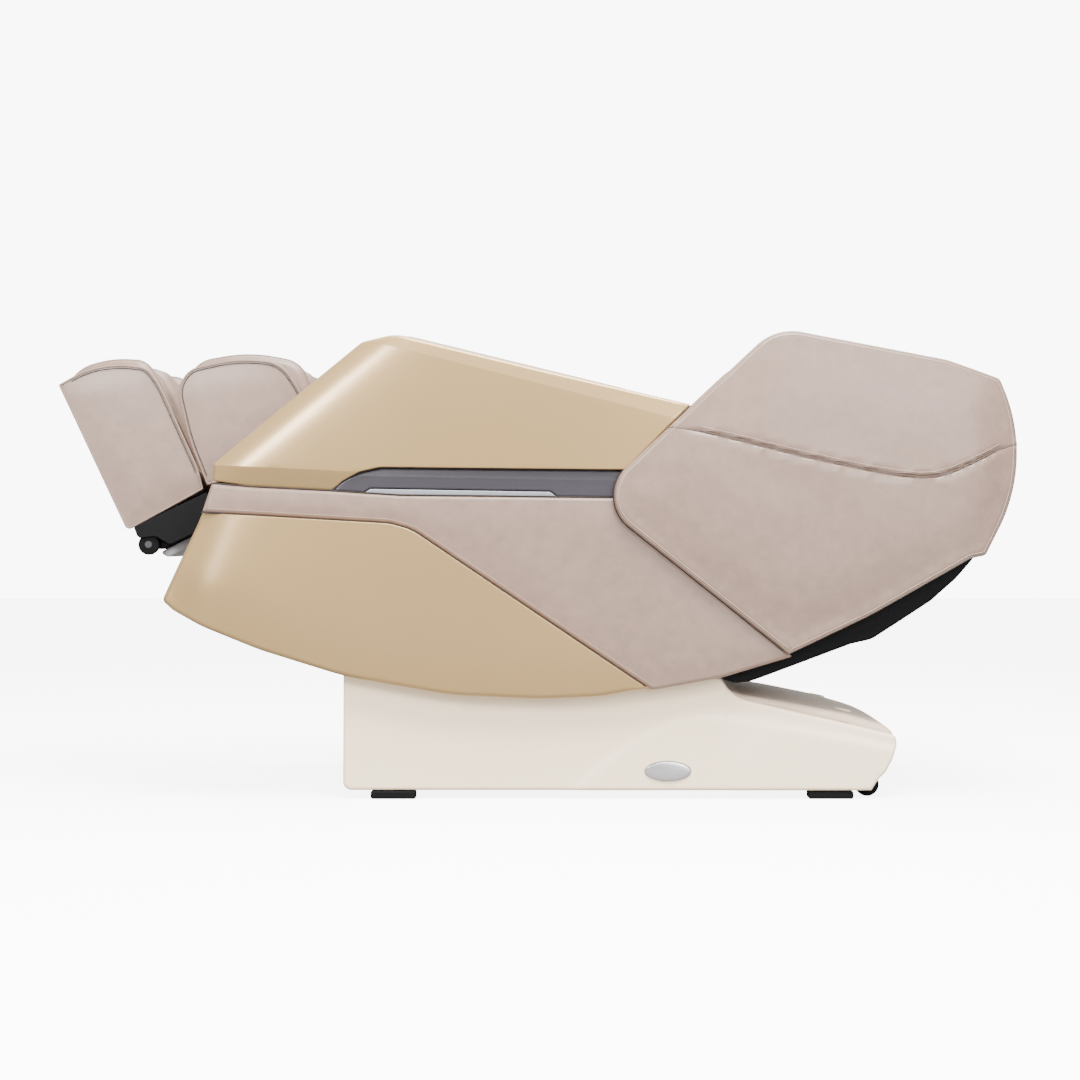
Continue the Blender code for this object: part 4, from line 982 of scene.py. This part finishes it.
# Cover of the leg frame, with the skirt, side flanges and tray of the foot frame
def blackPlate():
    side = [onLeg(0.236, 0.0850) + (0.004,), onLeg(0.404, 0.0885) + (0.004,), onLeg(0.407, 0.048) + (0.012,),
            onLeg(0.392, 0.030) + (0.015,), onLeg(0.372, 0.0215) + (0.012,), onLeg(0.236, 0.022) + (0.004,)]
    cover = [onLeg(-0.020, 0.026) + (0.02,), onLeg(0.030, 0.050) + (0.03,), onLeg(0.231, 0.086) + (0.003,),
             onLeg(0.231, 0.019) + (0.003,), onLeg(0.050, 0.012) + (0.03,), onLeg(0.010, -0.028) + (0.02,),
             onLeg(-0.024, -0.018) + (0.02,)]
    for name, shape, body, half in (("legCover", cover, "leg", 0.2225), ("footSkirt", side, "foot", 0.2225)):
        obj = plate(name, rounded(shape), -half, half, "black", body, 0.004, None, gap=0.0, backEdge=0.004,
                    step=0.05)
        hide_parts("leg_frame" if body == "leg" else "foot_frame")
    for cap, side, s in bothSides():
        flange = plate("legFlange" + cap, rounded(cover[1:4] + [onLeg(0.10, 0.014) + (0.01,)]), 0.2225,
                       0.2440, "black", "leg", 0.003, None, gap=0.0, side=s, step=0.05)
        flange = plate("footFlange" + cap, rounded(skirtSide(0.236)), 0.2470, 0.2495, "black", "foot",
                       0.001, None, gap=0.0, side=s, step=0.05)
    tray = [onLeg(0.262, 0.0215) + (0.004,), onLeg(0.280, 0.003) + (0.008,), onLeg(0.374, 0.003) + (0.006,),
            onLeg(0.386, 0.020) + (0.006,)]
    obj = plate("footTray", rounded(tray), -0.205, 0.205, "trayGrey", "foot", 0.003, None, gap=0.0,
                backEdge=0.003, step=0.05)


def skirtSide(start):
    return [onLeg(start, 0.086) + (0.003,), onLeg(0.403, 0.0880) + (0.004,), onLeg(0.405, 0.062) + (0.01,),
            onLeg(0.372, 0.052) + (0.02,), onLeg(0.350, 0.0215) + (0.010,), onLeg(start, 0.0215) + (0.003,)]


looks["trayGrey"] = moulding("trayGrey", (0.36, 0.35, 0.36), 0.5)
blackPlate()


# Solid tread with a rounded shoulder and a grey hub cap
def drawWheel(name, centre, low, high, radius, body, node, hub):
    x, z = centre
    bm = bmesh.new()
    profile = [(0.0, low), (radius - 0.003, low), (radius - 0.0008, low + 0.0012), (radius, low + 0.004),
               (radius, high - 0.004), (radius - 0.0008, high - 0.0012), (radius - 0.003, high),
               (radius * 0.62, high), (radius * 0.58, high - 0.0015), (0.0, high - 0.0015)]
    verts = [bm.verts.new((r, y, 0.0)) for r, y in profile]
    edges = [bm.edges.new(pair) for pair in zip(verts, verts[1:])]
    bmesh.ops.spin(bm, geom=verts + edges, cent=(0, 0, 0), axis=(0, 1, 0), angle=2 * math.pi, steps=48,
                   use_merge=True)
    bmesh.ops.remove_doubles(bm, verts=bm.verts, dist=1e-6)
    bmesh.ops.translate(bm, verts=bm.verts, vec=(x, 0, z))
    tread = finishMesh(name, bm, "rubber", body, 35.0)
    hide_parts(node)
    hubMesh = bmesh.new()
    made = bmesh.ops.create_cone(hubMesh, cap_ends=True, segments=40, radius1=radius * 0.38,
                                 radius2=radius * 0.32, depth=1.0)
    out = 1.0 if hub > (low + high) / 2 else -1.0
    for v in made["verts"]:
        v.co = Vector((x + v.co.x, hub + out * (v.co.z * 0.003 - 0.0005), z + v.co.y))
    finishMesh(name + "Hub", hubMesh, "trim", body, 30.0)


wheels = dict(
    legWheel=dict(centre=onLeg(0.392, 0.042), low=0.2258, high=0.2432, radius=0.0218, hub=0.2440,
                  body="leg_wheel_", node="leg_wheel_"),
    transportWheel=dict(centre=(0.692, 0.0249), low=0.2737, high=0.2933, radius=0.0243, hub=0.2940,
                        body="wheel_", node="transport_wheel_"))
for cap, side, s in bothSides():
    for name, spec in wheels.items():
        low, high = sorted((s * spec["low"], s * spec["high"]))
        drawWheel(name + cap, spec["centre"], low, high, spec["radius"], spec["body"] + side,
                  spec["node"] + side, s * spec["hub"])

print("stage: back shell and wing pads")

shellLine = [(0.388, 0.264), (0.393, 0.246), (0.415, 0.237), (0.445, 0.238), (0.472, 0.247),
             (0.560, 0.279), (0.653, 0.315), (0.694, 0.324), (0.753, 0.362), (0.814, 0.402),
             (0.865, 0.447), (0.899, 0.486), (0.930, 0.545), (0.955, 0.605), (0.964, 0.660), (0.962, 0.705)]
shellForm = dict(thick=0.004, half=0.3395, roll=0.02, ribAt=0.17, ribWidth=0.010, ribDepth=0.005,
                 flankIn=0.3265, flankOut=0.3392, flankRoll=0.006)


def shellBend(t, y):  # two long grooves, stopping short of both ends
    groove = math.exp(-((abs(y) - shellForm["ribAt"]) / shellForm["ribWidth"]) ** 2) * (0.05 < t < 0.9)
    return -shellForm["ribDepth"] * groove


shell = crossPath("backShell", shellLine[::-1], shellForm["thick"], shellForm["half"], "black", "back",
                  edge=shellForm["roll"], bend=shellBend, cuts=60)
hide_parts("back_shell")
flankShape = [(0.386, 0.264, 0.006), (0.393, 0.242, 0.01), (0.415, 0.236, 0.02), (0.445, 0.2385, 0.02),
              (0.472, 0.2475, 0.04), (0.653, 0.3155, 0.05), (0.694, 0.3245, 0.05),
              (0.753, 0.3625, 0.04), (0.814, 0.4025, 0.04), (0.865, 0.4475, 0.04), (0.899, 0.4865, 0.04),
              (0.955, 0.600, 0.10), (0.960, 0.704, 0.02), (0.930, 0.698), onBack(0.66, 0.044),
              onBack(0.12, 0.044), (0.404, 0.392), (0.404, 0.300)]
blockShape = [onBack(0.405, 0.052) + (0.01,), onBack(0.434, 0.235) + (0.05,), (0.560, 0.902, 0.08),
              (0.828, 0.864, 0.10), (0.916, 0.835, 0.05), (0.958, 0.742, 0.06),
              onBack(0.704, 0.052) + (0.02,)]


def blockRelief(points, depth):
    groove = np.exp(-((depth - 0.055) / 0.004) ** 2)
    return 0.010 * (1 - np.exp(-(depth / 0.05) ** 2)) - 0.004 * groove


for cap, side, s in bothSides():
    flank = plate("shellFlank" + cap, rounded(flankShape, 0.008), shellForm["flankIn"],
                  shellForm["flankOut"], "black", "back", shellForm["flankRoll"], gap=0.0, side=s,
                  step=0.06)
    block = plate("wingPad" + cap, rounded(blockShape, 0.008), -(layers["wingIn"] + 0.003),
                  -(layers["armIn"] + 0.011), "leather", "back", 0.026, blockRelief, side=-s, gap=0.0,
                  backEdge=0.0)

print("stage: hardware")

nodeLooks = {"power_inlet": "black", "power_switch": "black", "key_panel": "black", "recline_key": "lamp",
             "base_frame": "steel", "seat_frame": "steel", "back_frame": "steel", "belly_cover": "black",
             "base_front_cover": "cream", "massage_carriage": "black"}
partLooks = {"_rod": "bright", "_shaft": "bright", "_tube": "steel", "knead": "steel", "roller": "nylon",
             "foot_": "rubber"}
for name, node in nodes.items():
    look = nodeLooks.get(name)
    for word, choice in partLooks.items():
        if look is None and (name.startswith(word) if word == "foot_" else word in name):
            look = choice
    if look is not None:
        node.data.materials.clear()
        node.data.materials.append(looks[look])
        for face in node.data.polygons:
            face.use_smooth = True
        node.data.set_sharp_from_angle(angle=math.radians(35.0))

print("stage: light and camera")


studio = dict(low=0.26, high=1.55, seen=9.0, floorGlow=6.0, floorSize=14.0,
              floorSeen=(0.93, 0.93, 0.93, 1.0), floorBounce=(0.22, 0.215, 0.21, 1.0))
lamps = dict(
    keyLight=dict(place=(0.5, -2.0, 3.7), aim=(0.15, -0.2, 0.4), size=2.0, power=460.0,
                  colour=(1.0, 0.985, 0.96)),
    glossLight=dict(place=(-1.60, -3.5, 1.90), aim=(-0.4, -0.35, 0.65), size=0.75, power=130.0,
                    colour=(1.0, 0.985, 0.965)),
    rimLight=dict(place=(-2.6, -3.6, 0.9), aim=(-0.6, -0.35, 0.5), size=0.8, power=24.0,
                  colour=(1.0, 0.985, 0.965)),
    sheenLight=dict(place=(1.35, -3.7, 1.60), aim=(0.65, -0.40, 0.80), size=0.9, power=40.0,
                    colour=(0.985, 0.99, 1.0)),
    fillLight=dict(place=(1.9, -3.9, 1.2), aim=(0.1, 0.0, 0.3), size=2.2, power=65.0,
                   colour=(0.99, 0.99, 1.0)),
    topLight=dict(place=(0.2, 0.6, 3.4), aim=(0.0, 0.0, 0.5), size=2.8, power=170.0,
                  colour=(1.0, 1.0, 1.0)),
)
camera = dict(place=(0.0205, -4.5, 0.5265), lens=68.3333, sensor=36.0)


def buildStage():
    floor = bmesh.new()
    bmesh.ops.create_grid(floor, x_segments=1, y_segments=1, size=studio["floorSize"])
    mesh = bpy.data.meshes.new("floor")
    floor.to_mesh(mesh)
    floor.free()
    obj = bpy.data.objects.new("floor", mesh)
    bpy.context.scene.collection.objects.link(obj)
    mat, tree, bsdf = newMaterial("floorPale", (0.93, 0.93, 0.93), 0.85)
    rays = addNode(tree, "ShaderNodeLightPath")
    shade = addNode(tree, "ShaderNodeMix", data_type="RGBA")
    shade.inputs[6].default_value = studio["floorBounce"]
    shade.inputs[7].default_value = studio["floorSeen"]
    tree.links.new(rays.outputs["Is Camera Ray"], shade.inputs[0])
    tree.links.new(shade.outputs[2], bsdf.inputs["Base Color"])
    glow = addNode(tree, "ShaderNodeMath", operation="MULTIPLY")
    glow.inputs[1].default_value = studio["floorGlow"]
    bsdf.inputs["Emission Color"].default_value = (1.0, 1.0, 1.0, 1.0)
    tree.links.new(rays.outputs["Is Camera Ray"], glow.inputs[0])
    tree.links.new(glow.outputs[0], bsdf.inputs["Emission Strength"])
    mesh.materials.append(mat)
    world = bpy.data.worlds.new("studio")
    world.use_nodes = True
    tree = world.node_tree
    sky = tree.nodes["Background"]
    rays = addNode(tree, "ShaderNodeLightPath")
    coords = addNode(tree, "ShaderNodeTexCoord")
    split = addNode(tree, "ShaderNodeSeparateXYZ")
    dome = addNode(tree, "ShaderNodeMapRange")
    dome.inputs["From Min"].default_value = -0.6
    dome.inputs["To Min"].default_value = studio["low"]
    dome.inputs["To Max"].default_value = studio["high"]
    pick = addNode(tree, "ShaderNodeMix", data_type="FLOAT")
    pick.inputs[3].default_value = studio["seen"]
    link(tree, coords, "Generated", split, "Vector")
    link(tree, split, "Z", dome, "Value")
    tree.links.new(rays.outputs["Is Camera Ray"], pick.inputs[0])
    tree.links.new(dome.outputs["Result"], pick.inputs[2])
    tree.links.new(pick.outputs[0], sky.inputs["Strength"])
    sky.inputs["Color"].default_value = (1.0, 1.0, 1.0, 1.0)
    bpy.context.scene.world = world
    for name, lamp in lamps.items():
        data = bpy.data.lights.new(name, "AREA")
        data.shape = "SQUARE"
        data.size = lamp["size"]
        data.energy = lamp["power"]
        data.color = lamp["colour"]
        obj = bpy.data.objects.new(name, data)
        obj.location = lamp["place"]
        aim = Vector(lamp["aim"]) - Vector(lamp["place"])
        obj.rotation_euler = aim.to_track_quat("-Z", "Y").to_euler()
        bpy.context.scene.collection.objects.link(obj)
    cam = bpy.data.cameras.new("camera")
    cam.sensor_width = camera["sensor"]
    cam.lens = camera["lens"]
    view = bpy.data.objects.new("camera", cam)
    view.location = camera["place"]
    view.rotation_euler = (math.radians(90.0), 0.0, 0.0)
    bpy.context.scene.collection.objects.link(view)
    bpy.context.scene.camera = view


buildStage()


bpy.context.view_layer.update()
